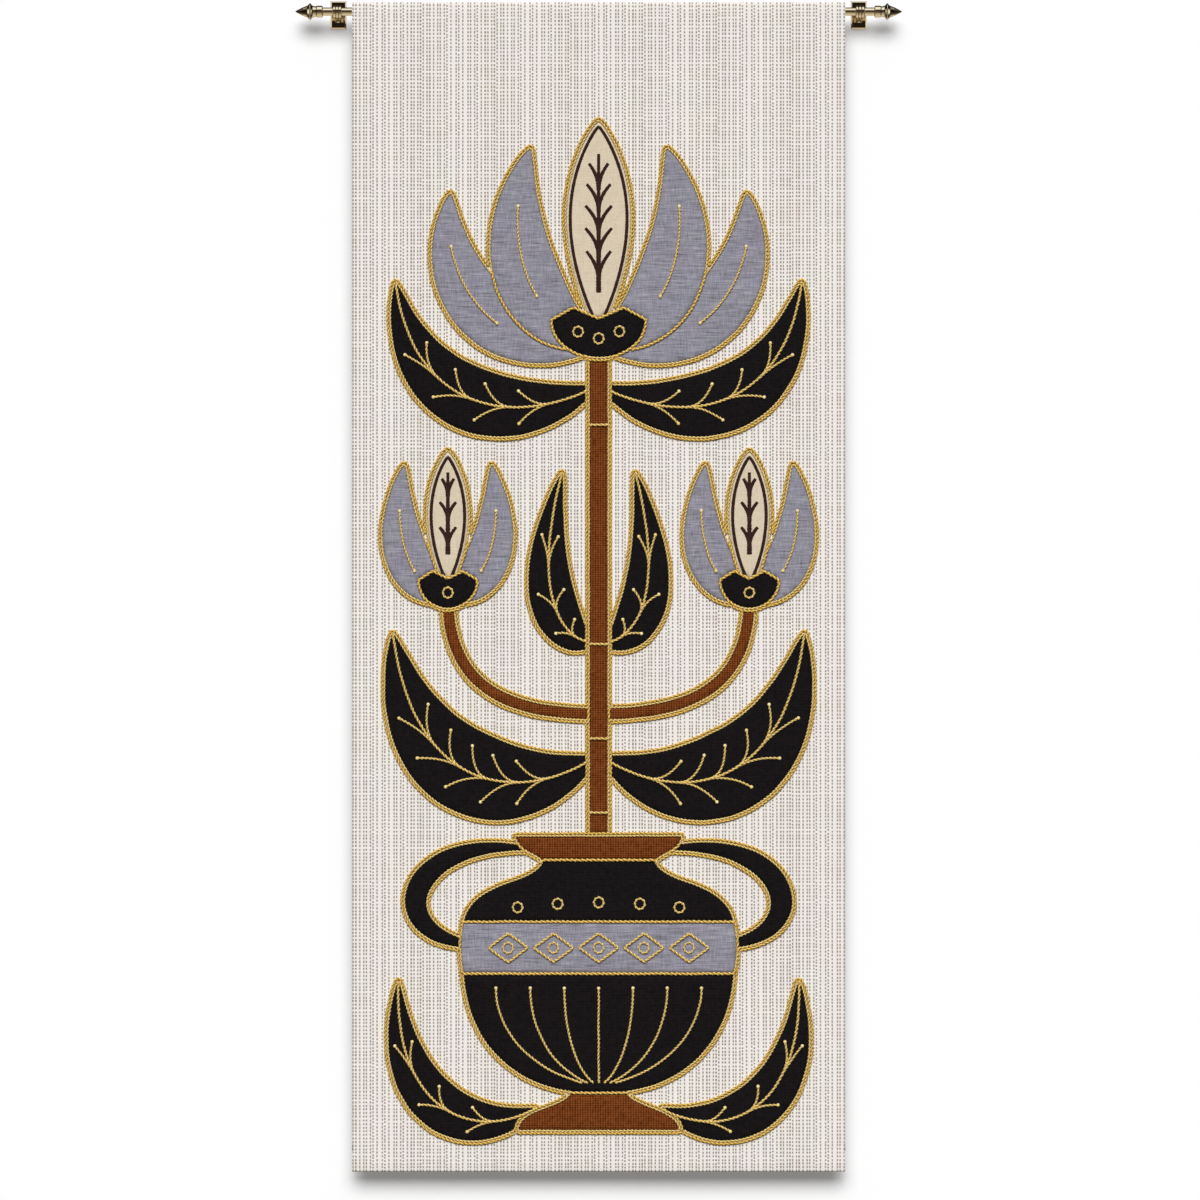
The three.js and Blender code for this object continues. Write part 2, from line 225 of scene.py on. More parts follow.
# %% The weave's chart
yarn = 1.926               # from one upright yarn to the next, in mm
pick = 1.8                 # from one level yarn to the next, in mm
first_column = 4.4         # from the left edge to the first column, in mm
hole_width = 1.1           # in yarns
hole_height = 1.4          # in picks
column_gaps = [3, 3, 2, 3, 2, 3, 4, 2, 3, 4, 2, 3, 2, 3, 3, 2, 3, 2, 2, 3, 2]
column_kinds = "GGGGGBAABAAAABAAAAAGG"
row_gaps = {
    "G": [3, 3, 2.5, 3, 3.2, 2.5, 3, 3, 3, 3, 3, 2.5, 3, 3, 3.2],
    "A": [3, 2.5, 3, 3.2, 3, 3, 3, 2.5, 3, 3, 3, 3, 3, 3.2, 3],
    "B": [2.5, 2.5, 3, 2.5, 2, 3, 2.5, 2.5, 3, 2, 2.5, 3, 2.5, 2.5, 3.5],
}
kind_tints = {"G": (1, 0, 0, 1), "A": (0, 1, 0, 1), "B": (0, 0, 1, 1)}
near_gap = 3               # in picks; a wider gap is a plain level bar
between_holes = {"G": 0.28, "A": 0.28, "B": 0.10}
at_level_bar = 0.08        # how dark a column stays where the cloth has a plain level bar
black, white = (0, 0, 0, 1), (1, 1, 1, 1)
print("yarns in a repeat:", sum(column_gaps), {kind: sum(gaps) for kind, gaps in row_gaps.items()})


def stripes(finish, place, marks, total, width):
    """Hard stripes that repeat after a total, and each mark is (middle, tint, tint after)."""
    share = finish.math("FRACT", finish.math("DIVIDE", place, total))
    stops = [(0.0, black)]
    for middle, tint, after in marks:
        stops += [((middle - width / 2) / total, tint), ((middle + width / 2) / total, after)]
    return finish.ramp(share, stops[1:] if stops[1][0] <= 0 else stops, "CONSTANT")


def row_stripes(finish, height, kind):
    """Where a column has its holes. Between near holes the column stays a little dark."""
    marks, at = [], hole_height / 2
    for gap in row_gaps[kind]:
        link = between_holes[kind] if gap <= near_gap else at_level_bar
        marks.append((at, white, (link, link, link, 1)))
        at += gap
    return stripes(finish, height, marks, sum(row_gaps[kind]), hole_height)


def column_stripes(finish, across):
    """The columns, in red, green or blue by kind, on two ramps, as one holds only 32 stops."""
    places = np.cumsum([0] + column_gaps[:-1]) + hole_width / 2
    marks = [(at, kind_tints[kind], black) for at, kind in zip(places, column_kinds)]
    half = len(marks) // 2
    total = sum(column_gaps)
    left, right = (stripes(finish, across, part, total, hole_width)
                   for part in (marks[:half], marks[half:]))
    return finish.mix(1.0, left, right, blend="ADD")


# %% The ground cloth's material
yarn_wander = 0.9          # how far a yarn wanders from its line, in mm
hole_slack, least_slack = (3.6, -0.6), 0.75      # how the holes open and close from place to place
hole_cover = 0.92          # how far a hole's dark hides the yarns
hole_cast, cloth_cast = 0.06, 0.07               # how far their colours drift over the cloth


def ground_weave():
    finish = Finish("ground_weave", roughness=0.92, specular=0.15)
    wander = finish.vector("ADD", finish.noise(7, 7, 5, output="Color"), (-0.5,) * 3)
    moved = finish.vector("MULTIPLY_ADD", wander, (yarn_wander * MM,) * 3, finish.place)
    x, _, z = finish.add("ShaderNodeSeparateXYZ", {0: moved}).outputs
    from_left = finish.math("ADD", x, cloth_half - first_column * MM)
    columns = column_stripes(finish, finish.math("DIVIDE", from_left, yarn * MM))
    height = finish.math("DIVIDE", z, pick * MM)
    by_kind = [row_stripes(finish, height, kind) for kind in "GAB"]
    meet = {0: columns, 1: finish.add("ShaderNodeCombineColor", enumerate(by_kind)).outputs[0]}
    holes = finish.add("ShaderNodeVectorMath", meet, operation="DOT_PRODUCT").outputs["Value"]
    slack = finish.math("MULTIPLY_ADD", finish.noise(14, 400, 30, detail=1.0), *hole_slack)
    holes = finish.math("POWER", holes, finish.math("MAXIMUM", slack, least_slack))
    yarns = finish.noise(0.9, 2, 60, detail=3.0)
    picks = finish.noise(40, 2, 0.9)
    blocks = finish.noise(42, 400, 60, detail=0.0, output="Color")
    light = finish.mix(yarns, colour(232, 227, 222), colour(255, 252, 249))
    light = finish.mix(finish.math("MULTIPLY", picks, 0.35), light, colour(221, 211, 203))
    dark = finish.mix(hole_cast, colour(142, 127, 106), blocks, "OVERLAY")
    body = finish.mix(finish.math("MULTIPLY", holes, hole_cover), light, dark)
    relief = finish.math("SUBTRACT", finish.math("MULTIPLY", yarns, 0.5), holes)
    finish.bump(relief, depth=0.5, strength=0.5)
    return finish.paint(finish.mix(cloth_cast, body, blocks, "SOFT_LIGHT"))


ground_finish = ground_weave()
print("ground weave:", len(ground_finish.node_tree.nodes), "nodes")

# %% [markdown]
# ## The appliqué cloths
#
# Grey linen has uneven, thicker yarns that show as level streaks, so its colour is noise stretched
# along x. Black and brown twill are woven close, and only a fine dark check shows. The cream cloth
# is a plain, even weave. Cloth scatters light at its fibres, so each has low specular light and
# some sheen.

# %% Materials for the appliqué cloths
cloth_sheen = 0.02
level_share = 0.62         # how much of the linen's streaks run level; the rest run upright
linen_cast = 0.05          # how far its colour drifts


def grey_linen():
    finish = Finish("grey_linen", roughness=0.9, specular=0.15, sheen=cloth_sheen)
    level = finish.math("MULTIPLY", finish.noise(26, 4, 1.5, detail=4.0), level_share)
    upright = finish.math("MULTIPLY", finish.noise(1.3, 4, 14, detail=3.0), 1 - level_share)
    both = finish.math("ADD", level, upright)
    tint = finish.ramp(both, [(0.30, colour(92, 90, 99)), (0.44, colour(132, 130, 141)),
                              (0.56, colour(151, 149, 161)), (0.72, colour(184, 181, 192))])
    cast = finish.noise(30, 90, 30, detail=0.0, output="Color")
    finish.bump(both, depth=0.35, strength=0.7)
    return finish.paint(finish.mix(linen_cast, tint, cast, "SOFT_LIGHT"))


def close_weave(name, dark, light, pitch, specular, depth):
    """A check of light and dark dots, cloudy here and there, between two colours."""
    finish = Finish(name, roughness=0.88, specular=specular, sheen=cloth_sheen)
    place = finish.spread((pitch, pitch, 0.88 * pitch))
    x, _, z = finish.add("ShaderNodeSeparateXYZ", {0: place}).outputs
    waves = [finish.math("SINE", finish.math("MULTIPLY", part, math.tau)) for part in (x, z)]
    dots = finish.math("MULTIPLY_ADD", finish.math("ADD", *waves), 0.2, 0.1)
    both = finish.math("MULTIPLY_ADD", finish.noise(5, 9, 4, detail=4.0), 0.8, dots)
    finish.bump(both, depth=depth, strength=0.6)
    return finish.paint(finish.ramp(both, [(0.15, dark), (0.85, light)]))


def cream_cloth():
    finish = Finish("cream_cloth", roughness=0.9, specular=0.2, sheen=cloth_sheen)
    upright, level = finish.noise(0.8, 2, 12), finish.noise(12, 2, 0.8)
    both = finish.math("MULTIPLY", finish.math("ADD", upright, level), 0.5)
    finish.bump(both, depth=0.25, strength=0.6)
    return finish.paint(finish.ramp(both, [(0.3, colour(201, 184, 156)), (0.7, colour(230, 217, 194))]))


black_pair = colour(12, 10, 11), colour(34, 30, 31)
brown_pair = colour(63, 23, 3), colour(138, 77, 36)
cloth_finishes = {
    "grey_linen": grey_linen(),
    "black_twill": close_weave("black_twill", *black_pair, pitch=2.4, specular=0.05, depth=0.2),
    "brown_twill": close_weave("brown_twill", *brown_pair, pitch=3.7, specular=0.12, depth=0.3),
    "cream_cloth": cream_cloth(),
}
print("cloths:", ", ".join(cloth_finishes))

# %% [markdown]
# ## Gold cord and stitching thread
#
# A cord of two plies shows dark slanting grooves between pale ridges. The cord's mesh carries
# attributes: how high on a ridge each point is, how far along the cord, and how pale. From those the
# material paints shade into the grooves, highlights onto the ridges, painted shade and highlight
# across the fine threads and painted shade at each pinch, so they follow the cord round every bend.

# %% Materials for cord and thread
thread_pitch = 2.4         # from one fine thread to the next, in mm along the cord
hold_every = 5.6           # from one holding stitch to the next, in mm
thread_slant = 2.5         # how far a thread slants over a ridge, in radians of its pitch
# painted highlight on each ridge and painted shade in each groove, around a middle lightness
painted_ridge_light = (0.5, 0.42)  # what a ridge adds to the cord's lightness, and the lightness between
# painted shade and highlight across the fine threads, and painted shade where a holding stitch pinches
# the cord
painted_thread_shading, painted_pinch_shade = 0.10, -0.12           # what a thread and a holding stitch add
wear_cover = 0.22
# each ramp runs from painted shade in the grooves to painted highlight on the ridges
deep_gold = [(0.0, colour(122, 84, 14)), (0.4, colour(235, 183, 54)), (1.0, colour(255, 236, 140))]
pale_gold = [(0.0, colour(144, 106, 40)), (0.36, colour(246, 215, 125)), (1.0, colour(255, 250, 202))]
worn_gold = colour(200, 145, 58)


def gold_cord():
    finish = Finish("gold_cord", roughness=0.42, sheen=0.1)
    along, pale, ridge = (finish.attribute(name) for name in ("along", "pale", "ridge"))
    turns = finish.math("MULTIPLY", along, math.tau / (thread_pitch * MM))
    thread = finish.math("COSINE", finish.math("MULTIPLY_ADD", ridge, thread_slant, turns))
    held = finish.math("COSINE", finish.math("MULTIPLY", along, math.tau / (hold_every * MM)))
    # the cord's painted shading: highlights on ridges, shade in grooves, across threads and at each
    # pinch
    painted_cord_shading = finish.math("MULTIPLY_ADD", ridge, *painted_ridge_light)
    for wave, added in ((thread, painted_thread_shading), (held, painted_pinch_shade)):
        painted_cord_shading = finish.math("MULTIPLY_ADD", wave, added, painted_cord_shading)
    body = finish.mix(pale, finish.ramp(painted_cord_shading, deep_gold), finish.ramp(painted_cord_shading, pale_gold))
    wear = finish.math("MULTIPLY", finish.noise(6, 6, 6, detail=3.0), wear_cover)
    finish.bump(painted_cord_shading, depth=0.35, strength=0.6)
    return finish.paint(finish.mix(wear, body, worn_gold))


def dark_thread():
    finish = Finish("dark_thread", roughness=0.5, specular=0.35)
    streak = finish.noise(3, 3, 1.2, detail=3.0)
    finish.bump(streak, depth=0.2, strength=0.5)
    return finish.paint(finish.mix(streak, colour(36, 20, 17), colour(68, 42, 36)))


gold_finish = gold_cord()
thread_finish = dark_thread()
print("cord and thread materials made")

# %% [markdown]
# ## Brass
#
# The rod, its ends and its brackets are polished brass, with faint smears from handling. Metal
# shows the room more than its own colour, so most of its look comes from the room at the end of the
# lesson.

# %% Brass
clean_roughness, smear_roughness = 0.02, 0.05    # where the brass is clean, and what smears add


def polished_brass():
    finish = Finish("polished_brass", roughness=0.14, metallic=1.0)
    smear = finish.noise(9, 9, 4, detail=3.0)
    rough = finish.math("MULTIPLY_ADD", smear, smear_roughness, clean_roughness)
    finish.feed(finish.shader.inputs["Roughness"], rough)
    finish.bump(finish.noise(2.5, 2.5, 2.5), depth=0.03, strength=0.3)
    return finish.paint(finish.mix(smear, colour(208, 189, 150), colour(231, 216, 184)))


brass_finish = polished_brass()
print("brass made")

# %% [markdown]
# ## Drawing on the cloth
#
# The design is drawn flat, as x and z on the face, in millimetres, and then scaled. Each curve has
# a start, a lean, a swing and an end: it leaves the start towards the lean and reaches the end from
# the swing. These are the four points of a cubic Bézier curve.

# %% Curves and outlines
touching = 1e-6            # points nearer to each other than this, in metres, are the same point
leaf_steps, cup_steps, urn_steps = 72, 32, 24
leaf_slimness = 0.8        # how fast a leaf narrows to its points


def along_curve(spine, steps):
    """Points along a curve and its direction at each, from its four points in millimetres."""
    start, lean, swing, end = np.array(spine, float) * MM
    u = np.linspace(0, 1, steps + 1)[:, None]
    back = 1 - u
    points = back ** 3 * start + 3 * back ** 2 * u * lean + 3 * back * u ** 2 * swing + u ** 3 * end
    ways = back ** 2 * (lean - start) + 2 * back * u * (swing - lean) + u ** 2 * (end - swing)
    return points, ways / np.linalg.norm(ways, axis=1, keepdims=True)


def anticlockwise(outline):
    x, z = outline.T
    area = np.sum(x * np.roll(z, -1) - np.roll(x, -1) * z) / 2
    return outline if area > 0 else outline[::-1]


def as_drawn(points):
    return points


def mirrored(points):
    return points * (-1, 1)


def right_of(ways):
    """Turns each direction a quarter turn clockwise."""
    return np.stack([ways[:, 1], -ways[:, 0]], axis=1)


def strip_outline(spine, half_widths, steps):
    """The two sides of a strip that follows a curve, with one half width or one for each step."""
    points, ways = along_curve(spine, steps)
    across = right_of(ways) * np.asarray(half_widths, float).reshape(-1, 1) * MM
    sides = np.concatenate([points + across, (points - across)[::-1]])
    apart = np.linalg.norm(sides - np.roll(sides, 1, axis=0), axis=1) > touching
    return anticlockwise(sides[apart])


def leaf_widths(half_width, belly, u):
    """Half a leaf's width at u, from 0 to 1 along it: widest at its belly, pointed at both ends."""
    lean = math.log(0.5) / math.log(belly)
    return half_width * np.clip(np.sin(math.pi * u ** lean), 0, 1) ** leaf_slimness


def leaf_outline(spine, half_width, belly=0.5):
    widths = leaf_widths(half_width, belly, np.linspace(0, 1, leaf_steps + 1))
    widths[[0, -1]] = 0
    return strip_outline(spine, widths, leaf_steps)


def turned_outline(side):
    """A piece of the urn: the same side curve, from bottom to top, on both sides of the middle."""
    right, _ = along_curve(side, urn_steps)
    return anticlockwise(np.concatenate([right, mirrored(right)[::-1]]))


def cup_outline(middle, half_width, height):
    """The cup under a flower: half an ellipse, closed by two low shoulders on top."""
    angles = np.linspace(math.pi, math.tau, cup_steps + 1)
    bowl = np.stack([half_width * np.cos(angles), height * np.sin(angles)], axis=1)
    out, up = 0.55 * half_width, 0.3 * height
    top = np.array([(out, up), (0, 0), (-out, up)])
    return (np.concatenate([bowl, top]) + middle) * MM


print("a leaf is drawn with", 2 * leaf_steps, "points")

# %% [markdown]
# A cord beside an edge follows the same outline, moved outwards. The cord can't turn a sharp
# corner, so the moved outline goes round each outer corner in a small arc.

# %% Outlines moved outwards
corner_step = math.radians(18)


def grown(outline, distance):
    """An outline moved outwards by a distance in metres, with its outer corners rounded."""
    before = outline - np.roll(outline, 1, axis=0)
    before /= np.linalg.norm(before, axis=1, keepdims=True)
    after = np.roll(before, -1, axis=0)
    made = []
    for point, (bx, bz), (ax, az) in zip(outline, before, after):
        turn = math.atan2(bx * az - bz * ax, bx * ax + bz * az)
        if turn > corner_step:
            parts = math.ceil(turn / corner_step)
            start = math.atan2(-bx, bz)
            for i in range(parts + 1):
                angle = start + turn * i / parts
                made.append(point + distance * np.array([math.cos(angle), math.sin(angle)]))
        else:
            out = np.array([bz + az, -bx - ax]) / (1 + bx * ax + bz * az)
            made.append(point + distance * out)
    return np.array(made)


def evenly(path, step, closed=False):
    """The same path with its points about a step apart."""
    path = np.asarray(path, float)
    if closed:
        path = np.concatenate([path, path[:1]])
    reach = np.concatenate([[0], np.cumsum(np.linalg.norm(np.diff(path, axis=0), axis=1))])
    count = max(2, round(reach[-1] / step) + 1)
    at = np.linspace(0, reach[-1], count)
    even = np.stack([np.interp(at, reach, path[:, k]) for k in range(path.shape[1])], axis=1)
    return even[:-1] if closed else even


# %% [markdown]
# Two questions come up for every piece: is a point inside an outline, and how far is it from an
# edge? NumPy answers them for all points at once, which keeps the script quick.

# %% Inside and near
least_run = 4              # the fewest points that make a run of line worth sewing
no_length = 1e-18          # stands in for an edge's squared length where its ends meet


def inside(points, outline):
    """Whether each point is inside a closed outline, by how often a ray from it crosses the edge."""
    x, z = points[:, :1], points[:, 1:]
    (ax, az), (bx, bz) = outline.T, np.roll(outline, -1, axis=0).T
    spans = (az > z) != (bz > z)
    with np.errstate(divide="ignore", invalid="ignore"):
        crossing = ax + (z - az) * (bx - ax) / (bz - az)
    return np.sum(spans & (x < crossing), axis=1) % 2 == 1


def inside_any(points, outlines):
    found = np.zeros(len(points), bool)
    for outline in outlines:
        found |= inside(points, outline)
    return found


def near(one, other):
    """Whether the boxes of two outlines meet."""
    return all(np.all(a.min(axis=0) < b.max(axis=0)) for a, b in ((one, other), (other, one)))


def visible_runs(loop, blockers, within=None):
    """The parts of a closed line that no blocker covers, and that lie within some outlines if given."""
    hidden = inside_any(loop, [blocker for blocker in blockers if near(blocker, loop)])
    if within is not None:
        hidden |= ~inside_any(loop, within)
    if not hidden.any():
        return [np.concatenate([loop, loop[:1]])]
    first = int(np.argmax(hidden))
    loop, hidden = np.roll(loop, -first, axis=0), np.roll(hidden, -first)
    runs = [[]]
    for point, out_of_sight in zip(loop, hidden):
        if out_of_sight:
            runs.append([])
        else:
            runs[-1].append(point)
    return [np.array(run) for run in runs if len(run) >= least_run]


def distance_to(points, starts, ends):
    """How far each point is from the nearest of some straight edges."""
    way = ends - starts
    length = np.maximum(np.sum(way ** 2, axis=1), no_length)
    share = np.clip(np.einsum("pek,ek->pe", points[:, None] - starts, way) / length, 0, 1)
    nearest = starts + share[..., None] * way
    return np.linalg.norm(points[:, None] - nearest, axis=2).min(axis=1)


# %% [markdown]
# ## How the cloth hangs
#
# A hanging this size never lies quite flat. It keeps slow waves of well under a millimetre, still
# at the rod and widest at the hem. A cloth simulation would give such waves too, but not the same
# ones to every piece. Here they are a sum of two sines, and every piece on the cloth follows them,
# so nothing lifts off or sinks in.

# %% The waves
wave_height = 0.7 * MM
still_below_rod = 40 * MM
waves = [                  # share, length, drift on the way down, and start
    (0.45, 0.062, 2.1, 0.6),
    (0.55, 0.145, -1.3, 0.0),
]


def hang(x, z):
    """How far the cloth at that place stands behind its flat face, in metres."""
    loose = np.clip(1 - np.asarray(z) / (rod_z - still_below_rod), 0, 1)
    swing = sum(share * np.sin(x / length + drift * loose + start)
                for share, length, drift, start in waves)
    return wave_height * loose * swing


def on_cloth(path, y):
    """Points of (x, z) as (x, y, z), at a depth y that follows the cloth's waves."""
    x, z = np.asarray(path).T
    return np.stack([x, y + hang(x, z), z], axis=1)


print(f"the hem swings by {hang(np.linspace(-cloth_half, cloth_half, 99), 0).max() / MM:.2f} mm")

# %% [markdown]
# Every piece is made and finished in the same few ways: a mesh at the origin, its doubles joined,
# its modifiers turned into plain mesh, and its ties to the frame. Each way is a small function.

# %% Making a piece
def new_piece(name, points, faces=(), edges=(), material=None):
    """A mesh object of that name at the origin, with its place in its mesh."""
    mesh = bpy.data.meshes.new(name)
    mesh.from_pydata([tuple(point) for point in points], list(edges), [tuple(face) for face in faces])
    mesh.shade_smooth()
    if material:
        mesh.materials.append(material)
    made = bpy.data.objects.new(name, mesh)
    bpy.context.scene.collection.objects.link(made)
    return made


def weld(made, outwards=False):
    """Joins points that lie on each other, and can turn the faces of a closed piece outwards."""
    work = bmesh.new()
    work.from_mesh(made.data)
    bmesh.ops.remove_doubles(work, verts=work.verts, dist=touching)
    if outwards:
        bmesh.ops.dissolve_degenerate(work, edges=work.edges, dist=touching / 10)
        bmesh.ops.recalc_face_normals(work, faces=work.faces)
    work.to_mesh(made.data)
    work.free()


def as_plain_mesh(made):
    """Replaces a piece's mesh by what its modifiers make of it, and takes them off."""
    evaluated = made.evaluated_get(bpy.context.evaluated_depsgraph_get())
    finished = bpy.data.meshes.new_from_object(evaluated)
    finished.name = made.name
    made.modifiers.clear()
    made.data = finished
    return made


def give_thickness(made, thickness):
    """Adds the back of a sheet, behind its face."""
    solidify = made.modifiers.new("thickness", "SOLIDIFY")
    solidify.thickness = thickness
    solidify.offset = -1
    return as_plain_mesh(made)


def dress(made, node=None):
    """Ties a piece to the frame's one body and lets it take a node's place."""
    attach(made, "root")
    if node:
        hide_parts(node)
    return made


def triangles(*pieces):
    return sum(len(face.vertices) - 2 for made in pieces for face in made.data.polygons)


# %% [markdown]
# ## The ground cloth
#
# One length of cloth makes the whole sheet. From the back, it starts at the hem's edge, turns under
# the bottom, climbs the face, folds over at the heading and wraps the rod before it is sewn down in
# a seam. So its section is one line of straights and arcs, and the sheet is that line carried
# across the width. Between the hem and the seam, both sides are turned in behind as well.

# %% The ground cloth's section
thickness = 1.8 * MM
fold_radius = 2 * MM
hem_depth = 30 * MM
side_hem = 20 * MM
pocket_outer = rod_radius + 2.3 * MM
seam_top = rod_z - 28 * MM
seam_end = seam_top - 10 * MM
behind = face + 2 * fold_radius        # the back of a folded edge
row_step = 12 * MM
flat_columns = 61
fold_steps, wrap_steps = 8, 20         # round a folded edge, and round the rod


def arc(middle, radius, start, end, steps):
    """Points on an arc, as (y, z), with its angles in degrees from +Y towards +Z."""
    angles = np.radians(np.linspace(start, end, steps + 1))
    return np.stack([middle[0] + radius * np.cos(angles), middle[1] + radius * np.sin(angles)], axis=1)


def ground_section():
    """The outside of the cloth's section, as (y, z), from the hem's edge to the end of the seam."""
    leave = math.degrees(math.acos((behind - rod_y) / pocket_outer))
    seam_angle = math.degrees(math.atan2(seam_top - rod_z, behind - rod_y))
    away = math.hypot(behind - rod_y, seam_top - rod_z)
    touch = seam_angle + math.degrees(math.acos(pocket_outer / away))
    heights = [fold_radius, hem_depth, seam_end, cloth_top - fold_radius]
    parts = [evenly([(behind, hem_depth), (behind, fold_radius)], row_step),
             arc((face + fold_radius, fold_radius), fold_radius, 0, -180, fold_steps)]
    parts += [evenly([(face, low), (face, high)], row_step) for low, high in zip(heights, heights[1:])]
    parts += [arc((face + fold_radius, cloth_top - fold_radius), fold_radius, 180, 0, fold_steps),
              arc((rod_y, rod_z), pocket_outer, leave, touch, wrap_steps),
              evenly([(behind, seam_top), (behind, seam_end)], row_step)]
    line = np.concatenate(parts)
    apart = np.linalg.norm(np.diff(line, axis=0), axis=1) > touching / 10
    return line[np.concatenate([[True], apart])]


section = ground_section()

# %% [markdown]
# The grid of points is wider than the face. Its outer columns either run straight on to the edge,
# at the hem and the pocket, or turn round the edge and lie behind it as the side hem.

# %% Make the ground cloth
def side_profile(turned):
    """The outer columns past the last flat one, as (distance out, distance back)."""
    if not turned:
        return [(fold_radius, 0.0)]
    fold = [(fold_radius * math.sin(a), fold_radius * (1 - math.cos(a)))
            for a in np.linspace(math.pi / fold_steps, math.pi, fold_steps)]
    flat = [(-share * (side_hem - fold_radius), 2 * fold_radius) for share in (0.35, 0.7, 1.0)]
    return fold + flat


def ground_cloth():
    inner = cloth_half - fold_radius
    columns = np.linspace(-inner, inner, flat_columns)
    points, faces = [], []

    def point(x, y, z):
        points.append((x, y + hang(x, z), z))
        return len(points) - 1

    def fill(below, above, flipped=False):
        for i in range(len(below) - 1):
            corners = (below[i], below[i + 1], above[i + 1], above[i])
            faces.append(corners[::-1] if flipped else corners)

    close = touching / 10
    on_face = np.abs(section[:, 0] - face) < close
    turned = on_face & (section[:, 1] > hem_depth - close) & (section[:, 1] < seam_end + close)
    grid = [[point(x, y, z) for x in columns] for y, z in section]
    for below, above in zip(grid, grid[1:]):
        fill(below, above)
    for sign, column in ((-1, 0), (1, -1)):
        for lower in range(len(section) - 1):
            profile = side_profile(turned[lower] and turned[lower + 1])
            strips = []
            for row in (lower, lower + 1):
                y, z = section[row]
                strips.append([grid[row][column]] + [
                    point(sign * (inner + out), y + back * on_face[row], z) for out, back in profile])
            fill(*strips, flipped=sign < 0)
    made = new_piece("hanging_cloth", points, faces, material=ground_finish)
    weld(made)
    return give_thickness(made, thickness)


cloth = dress(ground_cloth(), "ground_cloth")
print("ground cloth:", triangles(cloth), "triangles")

# %% [markdown]
# ## The pattern
#
# An urn stands above the hem and holds a stem with leaves and three flowers. Each motif lists its
# pieces with the uppermost first, because an upper piece covers the edge of a lower one. The
# numbers are the pattern that the frame was cut from, in millimetres on the face of the cloth.

# %% The pattern's pieces
sides = {"left": mirrored, "right": as_drawn}

urn_rows = [
    ("urn_band", "grey_linen", [(196, 292), (201, 315), (201, 340), (196, 362)]),
    ("urn_bowl", "black_twill", [(38, 118), (140, 132), (192, 205), (196, 292)]),
    ("urn_shoulder", "black_twill", [(196, 362), (186, 425), (96, 415), (80, 452)]),
    ("urn_lip", "brown_twill", [(80, 452), (84, 464), (112, 466), (120, 488)]),
    ("urn_foot", "brown_twill", [(116, 62), (112, 92), (44, 92), (38, 118)]),
]
handle = {"spine": [(160, 330), (330, 330), (290, 500), (90, 470)], "half_width": 15}
leaf_rows = {
    "leaf_foot": {"spine": [(92, 92), (190, 40), (300, 96), (292, 276)], "half_width": 34},
    "leaf_low": {"spine": [(4, 606), (110, 536), (270, 546), (300, 784)], "half_width": 60,
                 "belly": 0.52},
    "leaf_middle": {"spine": [(4, 772), (54, 772), (100, 840), (54, 1018)], "half_width": 32},
    "leaf_high": {"spine": [(4, 1146), (104, 1092), (268, 1092), (296, 1296)], "half_width": 46,
                  "belly": 0.52},
}
vein_counts = {"leaf_foot": 3, "leaf_low": 5, "leaf_middle": 3, "leaf_high": 4}
stem = {"spine": [(0, 468), (0, 700), (0, 950), (0, 1200)], "half_width": 12}
side_stem = {"spine": [(0, 668), (116, 668), (220, 694), (220, 838)], "half_width": 7}

side_cup = {"middle": (220, 862), "half_width": 40, "height": 38}
side_petals = {
    "middle": {"spine": [(220, 850), (220, 920), (220, 1000), (220, 1050)], "half_width": 29},
    "outer": {"spine": [(210, 842), (266, 842), (306, 910), (284, 1030)], "half_width": 31},
    "inner": {"spine": [(230, 842), (174, 842), (134, 910), (156, 1030)], "half_width": 31},
}
top_cup = {"middle": (0, 1242), "half_width": 66, "height": 52}
top_petals = {
    "middle": {"spine": [(0, 1226), (0, 1340), (0, 1450), (0, 1532)], "half_width": 46},
    "inner": {"spine": [(-12, 1216), (92, 1216), (150, 1350), (100, 1492)], "half_width": 46},
    "outer": {"spine": [(-12, 1212), (146, 1176), (236, 1296), (216, 1426)], "half_width": 42},
}
print("leaves:", ", ".join(leaf_rows))

# %% [markdown]
# Four kinds of line are laid over the patches. A vein starts on another cord and ends loose, in a
# small knot. A fold is loose at both ends, and a rib is held at both. A ring is a short piece of
# cord bent round and closed. Leaves and petals get theirs by rule, from the same curve as the
# piece, so they always lie inside it.

# %% Lines laid over the patches
ring_radius, ring_stretch = 7.2, 1.04            # a little taller than wide
ring_start, ring_points = 0.4, 33                # the start in radians
lozenge_half_width, lozenge_half_height = 29, 21
lozenge_step, tie_step, fold_step = 2.3 * MM, 2 * MM, 3 * MM     # from point to point
band_rings = [(x, 327) for x in (-132, -66, 0, 66, 132)]
shoulder_rings = [(-118, 386), (-60, 391), (0, 393), (60, 391), (118, 386)]
tie_heights = [524, 632, 770, 1090]
fold_reach = (0.42, 0.8)   # where a petal's fold starts and ends, as shares of the petal's length
vein_lead = 0.13           # how much further along the leaf a vein ends than it starts
vein_lean = 0.45           # how far a vein keeps to the leaf's own way, as a share of its length


def ring(x, z):
    angles = np.linspace(ring_start, ring_start + math.tau, ring_points)
    across, up = ring_radius * np.cos(angles), ring_radius * ring_stretch * np.sin(angles)
    return np.stack([x + across, z + up], axis=1) * MM


def lozenge(x, z):
    ways = np.array([(0, 1), (1, 0), (0, -1), (-1, 0), (0, 1)])
    corners = (x, z) + ways * (lozenge_half_width, lozenge_half_height)
    return evenly(corners * MM, lozenge_step)


def tie(z):
    """A short level cord across the stem."""
    reach = stem["half_width"] + 2
    return evenly(np.array([(-reach, z), (reach, z)]) * MM, tie_step)


def gadroon(k):
    """One of the urn's ribs, from its foot up, the k-th from the middle."""
    return along_curve([(8 * k, 130), (33 * k, 150), (50 * k, 205), (50 * k, 268)], 60)[0]


def bend(root, end, way):
    """A short curve that leaves its root along the leaf and swings out to its end."""
    lean = root + way * np.linalg.norm(end - root) * vein_lean
    return along_curve(np.array([root, lean, (lean + 2 * end) / 3, end]) / MM, 14)[0]


